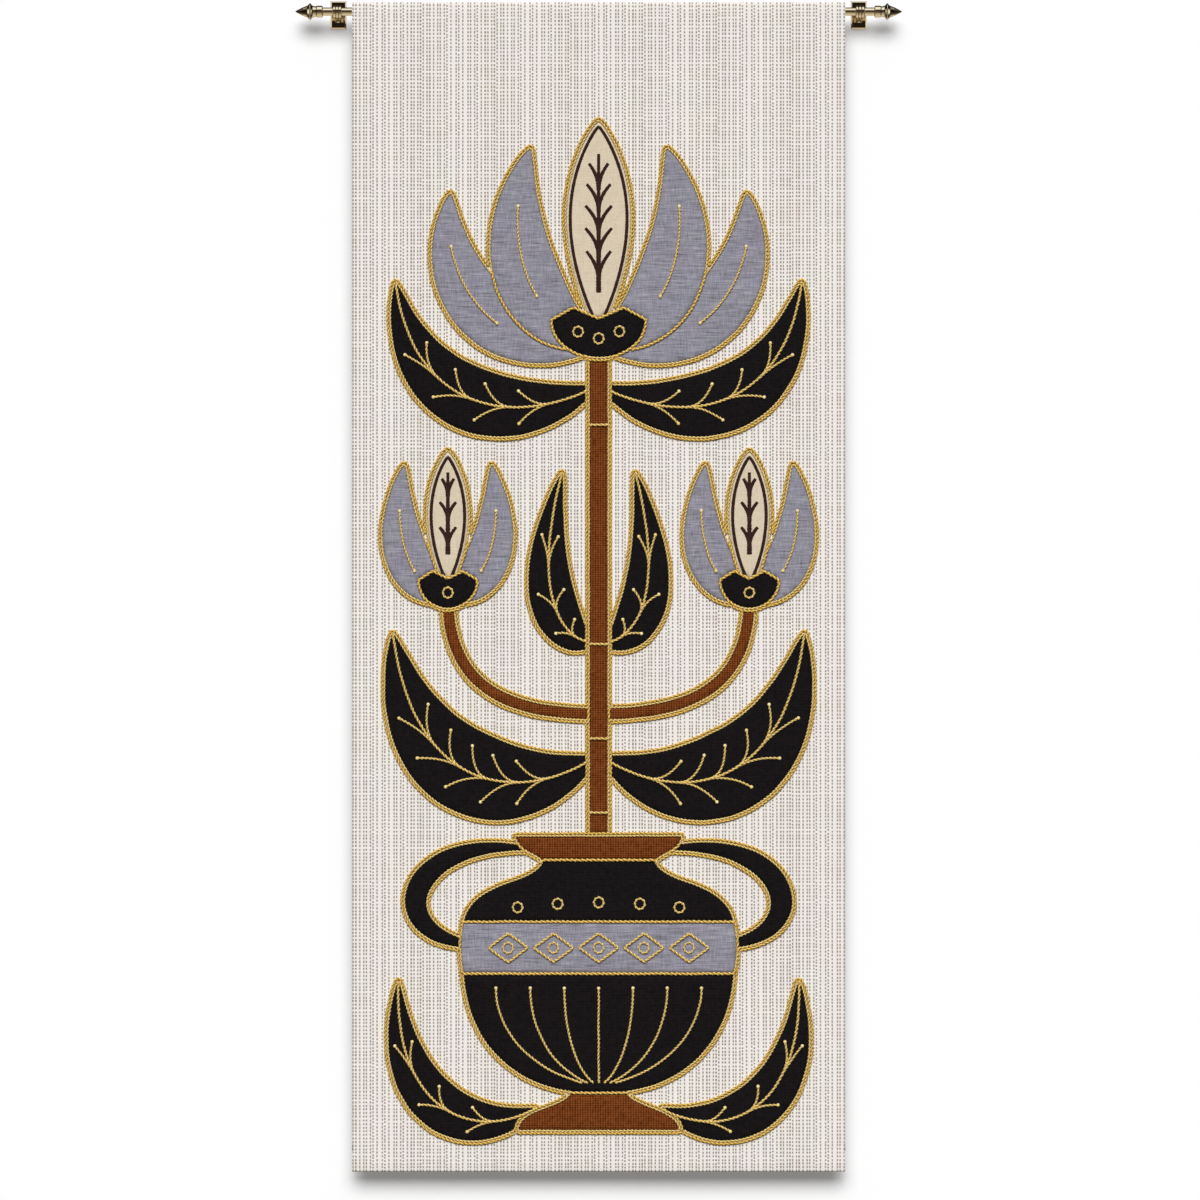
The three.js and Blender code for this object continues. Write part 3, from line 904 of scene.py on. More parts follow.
def side_veins(spine, half_width, count, belly=0.5, first=0.2, last=0.68, reach=0.60):
    """Veins that leave the middle of a leaf for both edges, each with its loose end out."""
    points, ways = along_curve(spine, 200)
    made = []
    for u in np.linspace(first, last, count):
        root, tip = round(200 * u), round(200 * (u + vein_lead))
        out = right_of(ways[[tip]])[0] * leaf_widths(half_width, belly, u + vein_lead) * reach * MM
        made += [bend(points[root], points[tip] + sign * out, ways[root]) for sign in (1, -1)]
    return made


def fold_line(spine, first, last):
    """A loose line up the middle of a petal."""
    points, _ = along_curve(spine, 100)
    return evenly(points[round(100 * first):round(100 * last) + 1], fold_step)


# %% [markdown]
# The cream petals have dark stitched lines instead, inside their edge, up the middle and out to
# each side. Each line comes with its half width at every point, because satin stitch tapers as it
# is sewn.

# %% Lines for satin stitch
satin_inset = 4.6 * MM
satin_step = 2 * MM
cup_margin = 4 * MM
too_near = 0.96            # of the inset; a point nearer to another edge than this is left out
satin_widths = {           # half the width at a line's start, and what it loses to the end, in mm
    "border": (2.1, 0), "fold": (3.4, 1.4), "vein": (2.9, 0.9)}
satin_fold_end = 0.82      # as a share of the petal's length


def inset(outline, distance):
    """The line that far inside an outline. Points that come too near another edge are left out."""
    line = grown(outline, -distance)
    return line[distance_to(line, outline, np.roll(outline, -1, axis=0)) > too_near * distance]


def tapered(line, kind):
    """A line with its half width at every point."""
    wide, loss = satin_widths[kind]
    return line, wide - loss * np.linspace(0, 1, len(line))


def satin_veins(shape, cup, count, first):
    """The dark lines of a petal, each with its half widths in millimetres."""
    border = evenly(inset(anticlockwise(leaf_outline(**shape)), satin_inset), satin_step, closed=True)
    lines = [tapered(line, "border") for line in visible_runs(border, [grown(cup, cup_margin)])]
    lines.append(tapered(fold_line(shape["spine"], first, satin_fold_end), "fold"))
    veins = side_veins(count=count, first=first + 0.05, last=0.64, reach=0.42, **shape)
    return lines + [tapered(line, "vein") for line in veins]


# %% [markdown]
# A motif gathers its pieces, its lines, and the frame's node for its cords. Motifs are listed in
# the order in which they are laid: the first lies over everything after it.

# %% The pieces of a motif
def piece(name, cloth_name, outline, flat):
    """A patch: its outline in metres and the width and length that it was cut to, in millimetres."""
    return {"name": name, "cloth": cloth_name, "outline": outline, "flat": flat}


def curve_length(spine):
    points, _ = along_curve(spine, 100)
    return np.linalg.norm(np.diff(points, axis=0), axis=1).sum() / MM


def leaf_piece(name, cloth_name, shape, turn):
    outline = anticlockwise(turn(leaf_outline(**shape)))
    return piece(name, cloth_name, outline, (2 * shape["half_width"], curve_length(shape["spine"])))


def cup_piece(name, shape, turn):
    flat = (2 * shape["half_width"], 1.3 * shape["height"])
    return piece(name, "black_twill", anticlockwise(turn(cup_outline(**shape))), flat)


def urn_piece(name, cloth_name, side):
    outline = turned_outline(side)
    return piece(name, cloth_name, outline, tuple((outline.max(axis=0) - outline.min(axis=0)) / MM))


def strip_piece(name, spine, half_width, steps, turn=as_drawn):
    outline = anticlockwise(turn(strip_outline(spine, half_width, steps)))
    return piece(name, "brown_twill", outline, (2 * half_width, curve_length(spine)))


# %% The motifs, uppermost first
def flower(name, turn, cup, petals, rings, vein_count, first_vein):
    """A cup with its rings, a cream petal with dark veins, and grey petals with a fold each."""
    (_, _, middle, _), *_ = petals
    veins = satin_veins(middle, cup_outline(**cup), vein_count, first_vein)
    pieces = [leaf_piece(f"{name}_{petal}", *rest) for petal, *rest in petals]
    folds = [way(fold_line(shape["spine"], *fold_reach)) for _, _, shape, way in petals[1:]]
    satin = [(turn(line), widths) for line, widths in veins]
    pieces = [cup_piece(f"{name}_cup", cup, turn)] + pieces
    return {"cord": f"{name}_cord", "pieces": pieces, "folds": folds, "satin": satin,
            "rings": [turn(ring(*at)) for at in rings]}


def flower_top():
    petals = [("middle", "cream_cloth", top_petals["middle"], as_drawn)]
    petals += [(f"{name}_{side}", "grey_linen", top_petals[name], turn)
               for name in ("inner", "outer") for side, turn in sides.items()]
    rings = [(0, 1216), (-30, 1226), (30, 1226)]
    return flower("flower_top", as_drawn, top_cup, petals, rings, vein_count=5, first_vein=0.17)


def flower_aside(side, turn):
    petals = [(name, "cream_cloth" if name == "middle" else "grey_linen", shape, turn)
              for name, shape in side_petals.items()]
    rings = [(220, 845)]
    return flower(f"flower_{side}", turn, side_cup, petals, rings, vein_count=3, first_vein=0.24)


def urn():
    pieces = [urn_piece(*row) for row in urn_rows]
    pieces += [leaf_piece(f"urn_handle_{side}", "black_twill", handle, turn)
               for side, turn in sides.items()]
    gadroons = [gadroon(k) for k in range(-3, 4)]
    rings = [ring(*at) for at in band_rings + shoulder_rings]
    lozenges = [lozenge(*at) for at in band_rings]
    return {"cord": "urn_cord", "pieces": pieces, "veins": gadroons, "rings": rings, "ribs": lozenges}


def stems():
    pieces = [strip_piece("stem", steps=1, **stem)]
    pieces += [strip_piece(f"stem_{side}", steps=40, turn=turn, **side_stem)
               for side, turn in sides.items()]
    return {"cord": "stem_cord", "pieces": pieces, "ribs": [tie(z) for z in tie_heights]}


def leaf(name, shape, side, turn):
    pieces = [leaf_piece(f"{name}_{side}", "black_twill", shape, turn)]
    veins = [turn(line) for line in side_veins(count=vein_counts[name], **shape)]
    midrib = turn(along_curve(shape["spine"], 120)[0])
    return {"cord": f"{name}_{side}_cord", "pieces": pieces, "veins": veins, "ribs": [midrib]}


motifs = [flower_top()] + [flower_aside(side, turn) for side, turn in sides.items()] + [urn(), stems()]
for name, shape in leaf_rows.items():
    motifs += [leaf(name, shape, side, turn) for side, turn in sides.items()]
print(len(motifs), "motifs with", sum(len(motif["pieces"]) for motif in motifs), "patches")

# %% [markdown]
# ## Patches
#
# A patch is its outline, less whatever lies over it. Triangles could be cut with a boolean, but a
# sheet that will be puffed wants an even grid inside its edges. So the outline, the covers'
# outlines and a grid of points go into one Delaunay triangulation, and only the triangles inside
# the outline and outside the covers are kept. The patch is then raised a little from its edge
# inwards, because the cords hold its edges down.

# %% Cut a patch
tuck = 1.6 * MM            # how far a patch goes on under the cord that covers its edge
grid_step = 6.5 * MM
grid_room = 0.45           # how far the grid stays from an edge, in its own steps
outline_step = 4 * MM


def chained(first, count, closed):
    """The edges that join points one after another."""
    edges = [(first + i, first + i + 1) for i in range(count - 1)]
    return edges + [(first + count - 1, first)] if closed else edges


def grid_inside(outline, step):
    """An even grid of points over an outline, in rows that step by half."""
    low, high = outline.min(axis=0), outline.max(axis=0)
    columns = np.arange(low[0], high[0], step)
    rows = np.arange(low[1], high[1], step * math.sqrt(0.75))
    return np.array([(x + (i % 2) * step / 2, z) for i, z in enumerate(rows) for x in columns])


def cut_patch(outline, covers):
    """Points and triangles of a flat patch."""
    covers = [cover for cover in covers if near(cover, outline)]
    loops = [evenly(loop, outline_step, closed=True) for loop in [outline] + covers]
    starts = np.concatenate(loops)
    ends = np.concatenate([np.roll(loop, -1, axis=0) for loop in loops])
    grid = grid_inside(outline, grid_step)
    grid = grid[inside(grid, outline) & ~inside_any(grid, covers)]
    grid = grid[distance_to(grid, starts, ends) > grid_room * grid_step]
    edges, count = [], 0
    for loop in loops:
        edges += chained(count, len(loop), closed=True)
        count += len(loop)
    flat_points = [Vector(point) for point in np.concatenate([starts, grid])]
    cut = geometry.delaunay_2d_cdt(flat_points, edges, [], 0, touching)
    points = np.array([tuple(point) for point in cut[0]])
    corners = np.array(cut[2])
    middles = points[corners].mean(axis=1)
    kept = corners[inside(middles, outline) & ~inside_any(middles, covers)]
    used, places = np.unique(kept, return_inverse=True)
    return points[used], places.reshape(kept.shape)


def open_edges(corners):
    """The edges that only one triangle has."""
    pairs = np.concatenate([corners[:, pair] for pair in ([0, 1], [1, 2], [2, 0])])
    unique, counts = np.unique(np.sort(pairs, axis=1), axis=0, return_counts=True)
    return unique[counts == 1]


# %% Lay a patch on the cloth
patch_edge = 0.5 * MM
patch_rise = 0.9 * MM
patch_thickness = 0.45 * MM
rise_width = 9 * MM
uneven_height = 0.12 * MM
uneven_scale = 38          # its bumps are about 1/38 m across


def lay_patch(part, covers):
    points, corners = cut_patch(grown(part["outline"], tuck), covers)
    border = open_edges(corners)
    depth = distance_to(points, points[border[:, 0]], points[border[:, 1]])
    ease = np.clip(depth / rise_width, 0, 1)
    rise = patch_edge + patch_rise * ease * (2 - ease)
    bumps = np.array([noise.noise(Vector((x * uneven_scale, z * uneven_scale, 0))) for x, z in points])
    placed = on_cloth(points, face - rise - bumps * uneven_height * ease)
    made = new_piece(f"patch_{part['name']}", placed, corners, material=cloth_finishes[part["cloth"]])
    dress(give_thickness(made, patch_thickness), part["name"])
    a, b, c = (points[corners[:, k]] for k in range(3))
    area = float(np.abs(np.cross(b - a, c - a)).sum() / 2)
    return made, area


# %% [markdown]
# The motifs are laid in turn. A patch ends under the single cord of an upper piece of its own
# motif, and under the double cord of an earlier motif, where a little more of it is left to hold on
# to.

# %% Lay the patches
gap = 0.3 * MM             # between a patch's edge and its first cord
single_row = 5.4 * MM
double_row = 8.6 * MM
under_double = 0.9 * MM

laid, patches, cloth_areas = [], {}, {}
for motif in motifs:
    outlines = [part["outline"] for part in motif["pieces"]]
    for number, part in enumerate(motif["pieces"]):
        above = [grown(outline, gap + single_row - tuck) for outline in outlines[:number]]
        above += [grown(outline, gap + double_row - tuck - under_double) for outline in laid]
        patches[part["name"]], area = lay_patch(part, above)
        cloth_areas[part["cloth"]] = cloth_areas.get(part["cloth"], 0) + area
    motif["laid_before"] = list(laid)
    laid += outlines
print("patches:", len(patches), "with", triangles(*patches.values()), "triangles")
print("cloth used, in square metres:", {name: round(area, 4) for name, area in cloth_areas.items()})

# %% [markdown]
# ## Cords
#
# A cord starts as a strand: a line of points on the face, its girth, and how high it stands. Along
# every outer edge lie two rows, a thin pale one next to the patch and a thicker golden one outside
# it. Where two pieces of a motif meet, one thick cord lies between them. Where a piece passes under
# another, its rows stop under the upper piece's cord, as they would when sewn in order.

# %% Strands
strand_step = 1.8 * MM
single_girth, single_pale = 2.55 * MM, 0.3
inner_girth, inner_pale = 1.95 * MM, 0.85
outer_girth, outer_pale = 2.3 * MM, 0.15
snug = 0.7                 # the share of its girth that the outer row keeps clear of the inner one
single_place = gap + single_girth                    # from the patch's edge to the middle of each row
inner_place = gap + inner_girth
outer_place = gap + 2 * inner_girth + outer_girth * snug
under_earlier = 1.8 * MM   # how far rows go on under an earlier motif's double cord
under_single = single_place + 1.6 * MM               # where lines end under a single cord
in_patch = 0.2 * MM        # how deep a line lies in the patch under it
line_kinds = {             # girth, paleness, and which ends have a knot
    "ribs": (2.35 * MM, 0.6, ()),
    "veins": (2.05 * MM, 0.7, (-1,)),
    "folds": (2.05 * MM, 0.7, (0, -1)),
    "rings": (1.9 * MM, 0.8, ()),
}


def strand(points, girth, pale, over=0.0, loose=()):
    """A line of cord. Over is its height off the face, and loose lists its knotted ends, 0 or -1."""
    return {"points": points, "girth": girth, "pale": pale, "over": over, "loose": loose}


def edge_rows(motif):
    """The two rows of cord round a motif, and the single row where its pieces meet."""
    outlines = [part["outline"] for part in motif["pieces"]]
    earlier = [grown(outline, gap + double_row - under_earlier) for outline in motif["laid_before"]]
    rows = []
    for number, outline in enumerate(outlines):
        above = [grown(upper, under_single) for upper in outlines[:number]]
        others = outlines[:number] + outlines[number + 1:]
        meeting = [grown(other, outer_place) for other in others]
        touched = [grown(other, inner_place) for other in others]
        single, inner, outer = (evenly(grown(outline, place), strand_step, closed=True)
                                for place in (single_place, inner_place, outer_place))
        for runs, girth, pale in (
                (visible_runs(single, above + earlier, within=meeting), single_girth, single_pale),
                (visible_runs(inner, touched + earlier), inner_girth, inner_pale),
                (visible_runs(outer, meeting + earlier), outer_girth, outer_pale)):
            rows += [strand(run, girth, pale) for run in runs]
    return rows


def lines_on(motif):
    """The ribs, veins and rings that are laid over a motif's patches."""
    on_patch = patch_edge + patch_rise - in_patch
    covered = [grown(outline, under_single) for outline in motif["laid_before"]]
    made = []
    for kind, (girth, pale, loose) in line_kinds.items():
        for line in motif.get(kind, []):
            if kind == "ribs":
                line = line[~inside_any(line, covered)]
            made.append(strand(line, girth, pale, on_patch, loose))
    return made


for motif in motifs:
    motif["strands"] = edge_rows(motif) + lines_on(motif)
paths = [line["points"] for motif in motifs for line in motif["strands"]]
cord_length = sum(np.linalg.norm(np.diff(path, axis=0), axis=1).sum() for path in paths)
print(f"cord: {cord_length:.1f} m in {len(paths)} strands")

# %% [markdown]
# All the strands of a motif go into one mesh of points and edges, and each point carries its girth
# and paleness. That mesh is what the Geometry Nodes tree turns into cord.

# %% Strands as a mesh with attributes
flatness = 0.85
sewn_on = 0.15 * MM        # how deep a cord sits in the cloth under it
sway_length = 26 * MM      # a hand-sewn cord sways a little from its line, over that length
sway_width = 0.6 * MM
noise.seed_set(7)          # the same sway in every run


def line_piece(name, lines, material, carried=()):
    """A mesh of lines, given with whether each is closed. Carried names values for all the points."""
    points, edges = [], []
    for line, closed in lines:
        edges += chained(len(points), len(line), closed)
        points += list(line)
    made = new_piece(name, points, edges=edges, material=material)
    for attribute, values in dict(carried).items():
        made.data.attributes.new(attribute, "FLOAT", "POINT").data.foreach_set("value", list(values))
    return made


def strand_mesh(name, strands):
    lines, carried = [], {"girth": [], "pale": [], "knot": []}
    for line in strands:
        path = line["points"]
        closed = np.linalg.norm(path[0] - path[-1]) < strand_step / 4
        path = path[:-1] if closed else path
        out = line["over"] + flatness * line["girth"] - sewn_on
        sway = np.array([noise.noise_vector(Vector((x, z, 0)) / sway_length) for x, z in path])
        lines.append((on_cloth(path + sway_width * sway[:, :2], face - out), closed))
        for attribute in ("girth", "pale"):
            carried[attribute] += [line[attribute]] * len(path)
        knots = np.zeros(len(path))
        knots[list(line["loose"])] = 1
        carried["knot"] += list(knots)
    return line_piece(name, lines, gold_finish, carried)


# %% [markdown]
# ## Helpers for Geometry Nodes trees
#
# Three kinds of sewing repeat along a line: holding stitches over a cord, satin threads and the
# stitches behind. A modelling script could copy each stitch, but a tree places thousands in one go
# and keeps its sizes as inputs. So the steps that they share are written once, and each tree ends
# in real geometry with its material set.

# %% The class, and how a tree is run
class Tree(Nodes):
    """A Geometry Nodes tree with named number inputs, which reads the piece's edges as curves."""

    def __init__(self, name, inputs):
        super().__init__(bpy.data.node_groups.new(name, "GeometryNodeTree"))
        sockets = self.tree.interface
        sockets.new_socket("Geometry", in_out="INPUT", socket_type="NodeSocketGeometry")
        for label, value in inputs.items():
            number = sockets.new_socket(label, in_out="INPUT", socket_type="NodeSocketFloat")
            number.default_value = value
        sockets.new_socket("Geometry", in_out="OUTPUT", socket_type="NodeSocketGeometry")
        self.given = self.add("NodeGroupInput").outputs
        self.curve = self.shape("MeshToCurve", {"Mesh": self.given["Geometry"]})

    def shape(self, kind, inputs=(), **settings):
        """The first output of a Geometry Nodes node."""
        return self.add("GeometryNode" + kind, inputs, **settings).outputs[0]

    def read(self, name, kind="FLOAT"):
        """What a point carries under a name."""
        return self.shape("InputNamedAttribute", {"Name": name}, data_type=kind)

    def store(self, shape, name, value, kind="FLOAT"):
        inputs = {"Geometry": shape, "Name": name, "Value": value}
        return self.shape("StoreNamedAttribute", inputs, data_type=kind)

    def place(self, points, shape, size, **more):
        """A shape at each point, scaled by a size along x, y and z."""
        scale = self.add("ShaderNodeCombineXYZ", enumerate(size)).outputs[0]
        inputs = {"Points": points, "Instance": shape, "Scale": scale, **more}
        return self.shape("InstanceOnPoints", inputs)

    def sew(self, curve, every, shape, size):
        """A shape at every step along a curve, its z along the curve and its y towards the wall."""
        steps = {"Curve": curve, "Length": every}
        spots = self.add("GeometryNodeCurveToPoints", steps, mode="LENGTH").outputs
        axes = {"Primary Axis": spots["Tangent"], "Secondary Axis": (0, 1, 0)}
        turn = self.add("FunctionNodeAxesToRotation", axes, primary_axis="Z", secondary_axis="Y")
        return self.place(spots["Points"], shape, size, Rotation=turn.outputs[0])

    def bent_thread(self, steps, radius, corners, girth):
        """Half a circle of thread, which reaches over a cord or a line from side to side."""
        half = {"Resolution": steps, "Radius": radius, "Start Angle": math.pi, "Sweep Angle": math.pi}
        arc = self.shape("CurveArc", half)
        section = self.shape("CurvePrimitiveCircle", {"Resolution": corners, "Radius": girth})
        return self.shape("CurveToMesh", {"Curve": arc, "Profile Curve": section})

    def finish(self, shape, material):
        smooth = self.shape("SetShadeSmooth", {"Geometry": shape})
        whole = self.shape("RealizeInstances", {"Geometry": smooth})
        painted = self.shape("SetMaterial", {"Geometry": whole, "Material": material})
        self.feed(self.add("NodeGroupOutput").inputs[0], painted)
        return self.tree


def grow(made, tree, **inputs):
    """Runs a tree on a piece and keeps the result as a plain mesh."""
    modifier = made.modifiers.new(tree.name, "NODES")
    modifier.node_group = tree
    for socket in tree.interface.items_tree:
        if socket.in_out == "INPUT" and socket.name in inputs:
            modifier[socket.identifier] = inputs[socket.name]
    return as_plain_mesh(made)


# %% [markdown]
# ## The cord tree
#
# A twisted cord is a star section swept along the strand while it turns, so the section's points
# become slanting ridges. The tree resamples each strand, turns it once for every lay, and pinches
# it where a stitch holds it down. It then adds the holding stitches themselves, small arcs of
# thread over the cord, and a knot at each loose end.

# %% Build the cord tree
section_points = 6
groove = 0.76              # the radius in the grooves, as a share of the ridges'
# the groove's value gives it painted shade in the cord's material; stitches and knots take places on
# that ramp
painted_groove_shade, hold_light, knot_light = -0.6, 0.2, 0.6            # carried as "ridge"; a ridge has 1
lay = 6.0                  # the length of one turn of the twist, in girths
pinch = 0.16
pinch_sharpness = 6.0
resample_step = 1.7 * MM
stitch_width = 0.9 * MM
knot_size = 1.25           # a knot's radius, in girths
knot_flatness = 0.7


def star_section(tree):
    """A section with two ridges, one for each ply, round a circle of radius 1."""
    circle = tree.shape("CurvePrimitiveCircle", {"Resolution": section_points, "Radius": 1.0})
    side = tree.math("MINIMUM", tree.math("MODULO", tree.shape("InputIndex"), section_points / 2), 1.0)
    size = tree.math("MULTIPLY_ADD", side, groove - 1, 1.0)
    reach = {0: tree.shape("InputPosition"), "Scale": size}
    scaled = tree.add("ShaderNodeVectorMath", reach, operation="SCALE").outputs[0]
    star = tree.shape("SetPosition", {"Geometry": circle, "Position": scaled})
    return tree.store(star, "ridge", tree.math("MULTIPLY_ADD", side, painted_groove_shade - 1, 1.0))


def flattened(tree, mesh):
    """Presses a swept mesh towards its own axis, front to back."""
    offset = tree.vector("SUBTRACT", tree.read("axis", "FLOAT_VECTOR"), tree.shape("InputPosition"))
    pressed = tree.vector("MULTIPLY", offset, (0, 1 - flatness, 0))
    return tree.shape("SetPosition", {"Geometry": mesh, "Offset": pressed})


def holding_stitches(tree, curve, girth):
    """Small arcs of thread over the cord, one at each pinch."""
    size = (girth, tree.math("MULTIPLY", girth, flatness), stitch_width)
    thread = tree.bent_thread(steps=5, radius=1.02, corners=3, girth=0.15)
    placed = tree.sew(curve, tree.given["Pinch every"], thread, size)
    return tree.store(tree.shape("RealizeInstances", {"Geometry": placed}), "ridge", hold_light)


def end_knots(tree, curve, girth):
    """A squashed ball at each end that is marked loose."""
    sides = {0: tree.read("knot"), 1: 0.5}
    marked = tree.add("FunctionNodeCompare", sides, operation="GREATER_THAN").outputs[0]
    both = {0: tree.shape("CurveEndpointSelection"), 1: marked}
    chosen = tree.add("FunctionNodeBooleanMath", both, operation="AND").outputs[0]
    ball = tree.shape("MeshUVSphere", {"Segments": 8, "Rings": 6, "Radius": knot_size})
    size = (girth, tree.math("MULTIPLY", girth, knot_flatness), girth)
    placed = tree.place(curve, ball, size, Selection=chosen)
    return tree.store(tree.shape("RealizeInstances", {"Geometry": placed}), "ridge", knot_light)


def cord_tree():
    tree = Tree("cord", {"Lay": lay, "Pinch every": hold_every * MM, "Pinch": pinch})
    curve = tree.shape("ResampleCurve", {"Curve": tree.curve, "Length": resample_step}, mode="LENGTH")
    along = tree.add("GeometryNodeSplineParameter").outputs["Length"]
    girth = tree.read("girth")
    turns = tree.math("DIVIDE", along, tree.math("MULTIPLY", girth, tree.given["Lay"]))
    curve = tree.shape("SetCurveTilt", {"Curve": curve, "Tilt": tree.math("MULTIPLY", turns, math.tau)})
    curve = tree.store(curve, "along", along)
    curve = tree.store(curve, "axis", tree.shape("InputPosition"), "FLOAT_VECTOR")
    held = tree.math("DIVIDE", along, tree.given["Pinch every"])
    beat = tree.math("COSINE", tree.math("MULTIPLY", held, math.tau))
    tight = tree.math("POWER", tree.math("MULTIPLY_ADD", beat, 0.5, 0.5), pinch_sharpness)
    slack = tree.math("SUBTRACT", 1.0, tree.math("MULTIPLY", tight, tree.given["Pinch"]))
    size = tree.math("MULTIPLY", girth, slack)
    sweep = {"Curve": curve, "Profile Curve": star_section(tree), "Scale": size, "Fill Caps": True}
    body = flattened(tree, tree.shape("CurveToMesh", sweep))
    join = tree.add("GeometryNodeJoinGeometry")
    for part in (body, holding_stitches(tree, curve, girth), end_knots(tree, curve, girth)):
        tree.feed(join.inputs[0], part)
    return tree.finish(join.outputs[0], gold_finish)


cords = cord_tree()
print("cord tree:", len(cords.nodes), "nodes")

# %% Lay the cords
for motif in motifs:
    made = grow(strand_mesh(f"couched_{motif['cord']}", motif["strands"]), cords)
    dress(made, motif["cord"])

# %% [markdown]
# ## Satin stitch
#
# The dark lines on the cream petals are satin stitch: threads laid side by side straight across the
# line. The tree puts one bent thread at every step along the line and scales it to the line's half
# width there. A small random difference in length, with a fixed seed, gives the line its slightly
# uneven edge.

# %% Build the satin tree and stitch the petals
satin_pitch = 0.75 * MM
satin_rise = 0.9 * MM
satin_overlap = 2.6        # a thread's thickness along the line, in pitches, before its own girth
satin_unevenness = 0.12
satin_level = face - patch_edge - patch_rise + 0.1 * MM          # a little sunk in the petal


def satin_tree():
    tree = Tree("satin", {"Pitch": satin_pitch, "Rise": satin_rise, "Unevenness": satin_unevenness})
    pitch, rise, uneven = (tree.given[name] for name in ("Pitch", "Rise", "Unevenness"))
    limits = {2: tree.math("SUBTRACT", 1.0, uneven), 3: tree.math("ADD", 1.0, uneven), "Seed": 4}
    random = tree.add("FunctionNodeRandomValue", limits, data_type="FLOAT").outputs[1]
    reach = tree.math("MULTIPLY", tree.read("half width"), random)
    size = (reach, rise, tree.math("MULTIPLY", pitch, satin_overlap))
    thread = tree.bent_thread(steps=6, radius=1.0, corners=4, girth=0.22)
    return tree.finish(tree.sew(tree.curve, pitch, thread, size), thread_finish)


satin = satin_tree()
for motif in motifs:
    if "satin" in motif:
        lines = [(on_cloth(line, satin_level), False) for line, _ in motif["satin"]]
        half_widths = np.concatenate([widths * MM for _, widths in motif["satin"]])
        made = line_piece(f"satin_{motif['cord']}", lines, thread_finish, {"half width": half_widths})
        dress(grow(made, satin))
        print(made.name, triangles(made), "triangles")

# %% [markdown]
# ## Stitches on the back
#
# Every cord is sewn through the ground cloth, so its route shows on the back as a line of short
# stitches. The hems and the rod's pocket are sewn by hand there too, in cream thread. One tree
# makes both: a short, slightly raised stitch at every step along a line.

# %% Build the back stitch tree and sew the back
stitch_length, stitch_radius = 4 * MM, 0.7 * MM
hem_in = 3 * MM            # from the hem's edge to its row of stitches
hem_step = 8 * MM
hem_sizes = {"Every": 7 * MM, "Radius": 0.5 * MM}
short_of = {"edge": 6 * MM, "seam": 4 * MM}      # where a row of hem stitches stops
shortest_run = 12          # a run of cord with no more points than this leaves no stitches of its own


def back_stitch_tree(material):
    sizes = {"Every": hold_every * MM, "Length": stitch_length, "Radius": stitch_radius}
    tree = Tree("back stitches", sizes)
    stitch = tree.shape("MeshUVSphere", {"Segments": 5, "Rings": 3, "Radius": 1.0})
    every, length, radius = (tree.given[name] for name in ("Every", "Length", "Radius"))
    size = (radius, radius, tree.math("MULTIPLY", length, 0.5))
    return tree.finish(tree.sew(tree.curve, every, stitch, size), material)


def sew_behind(name, paths, y, material, slot, **sizes):
    """Rows of stitches along paths of (x, z), at a depth y."""
    made = line_piece(name, [(on_cloth(path, y), False) for path in paths], material)
    dress(grow(made, back_stitch_tree(material), **sizes))
    print(name, triangles(made), "triangles")
    return made


cord_paths = [line["points"] for motif in motifs for line in motif["strands"]
              if line["girth"] > inner_girth and len(line["points"]) > shortest_run]
cord_stitches = sew_behind("couching_on_the_back", cord_paths, face + thickness,
                           gold_finish, "gold_cord")

seam_middle = (seam_top + seam_end) / 2
level_end = cloth_half - short_of["edge"]
side_x = cloth_half - side_hem + hem_in
bottom, top = hem_depth + short_of["edge"], seam_end - short_of["seam"]
hem_rows = [[(-level_end, z), (level_end, z)] for z in (hem_depth - hem_in, seam_middle)]
hem_rows += [[(sign * side_x, bottom), (sign * side_x, top)] for sign in (-1, 1)]
hem_stitches = sew_behind("hem_stitches", [evenly(row, hem_step) for row in hem_rows], behind,
                          cloth_finishes["cream_cloth"], "cream_cloth", **hem_sizes)

# %% [markdown]
# ## Brass pieces
#
# The rod, its ends and its brackets' rings are all turned on a lathe: one side profile, carried
# round an axis. The frame has them with few faces, and polished metal shows every facet. So they
# are turned again with many more, and their edges get the small radius that a lathe tool and
# polishing leave. Small bevels are most of what a camera sees of metal, because they catch the
# light.

# %% Turn a profile
lathe_steps = 72
corner_parts = 3
sharp_angle = math.radians(32)


def softened(profile, radius):
    """Rounds the corners of a profile, all but its two ends, by cutting each with a small curve."""
    profile = np.array(profile, float)
    made = [profile[0]]
    for before, corner, after in zip(profile, profile[1:], profile[2:]):
        reach = [min(radius, np.linalg.norm(other - corner) / 2) for other in (before, after)]
        start = corner + (before - corner) / np.linalg.norm(before - corner) * reach[0]
        end = corner + (after - corner) / np.linalg.norm(after - corner) * reach[1]
        for t in np.linspace(0, 1, corner_parts + 1):
            made.append((1 - t) ** 2 * start + 2 * (1 - t) * t * corner + t ** 2 * end)
    return np.array(made + [profile[-1]])


def cylinder(radius, start, end, softness):
    return softened([(0, start), (radius, start), (radius, end), (0, end)], softness)


def turn_on_lathe(profile, closed=False):
    """Points and faces of a profile of (radius, along) in metres, turned round the X axis."""
    angles = np.linspace(0, math.tau, lathe_steps, endpoint=False)
    points = [(along, radius * math.cos(angle), radius * math.sin(angle))
              for radius, along in profile for angle in angles]
    rows = len(profile)
    faces = []
    for row in range(rows if closed else rows - 1):
        lower, upper = row * lathe_steps, ((row + 1) % rows) * lathe_steps
        for i in range(lathe_steps):
            after = (i + 1) % lathe_steps
            faces.append((lower + i, upper + i, upper + after, lower + after))
    return np.array(points), faces


def brass_piece(name, points, faces, at, node):
    """A brass piece that takes the place of a frame's node, with its faces turned outwards."""
    made = new_piece(name, np.asarray(points) + at, faces, material=brass_finish)
    weld(made, outwards=True)
    made.data.set_sharp_from_angle(angle=sharp_angle)
    return dress(made, node)


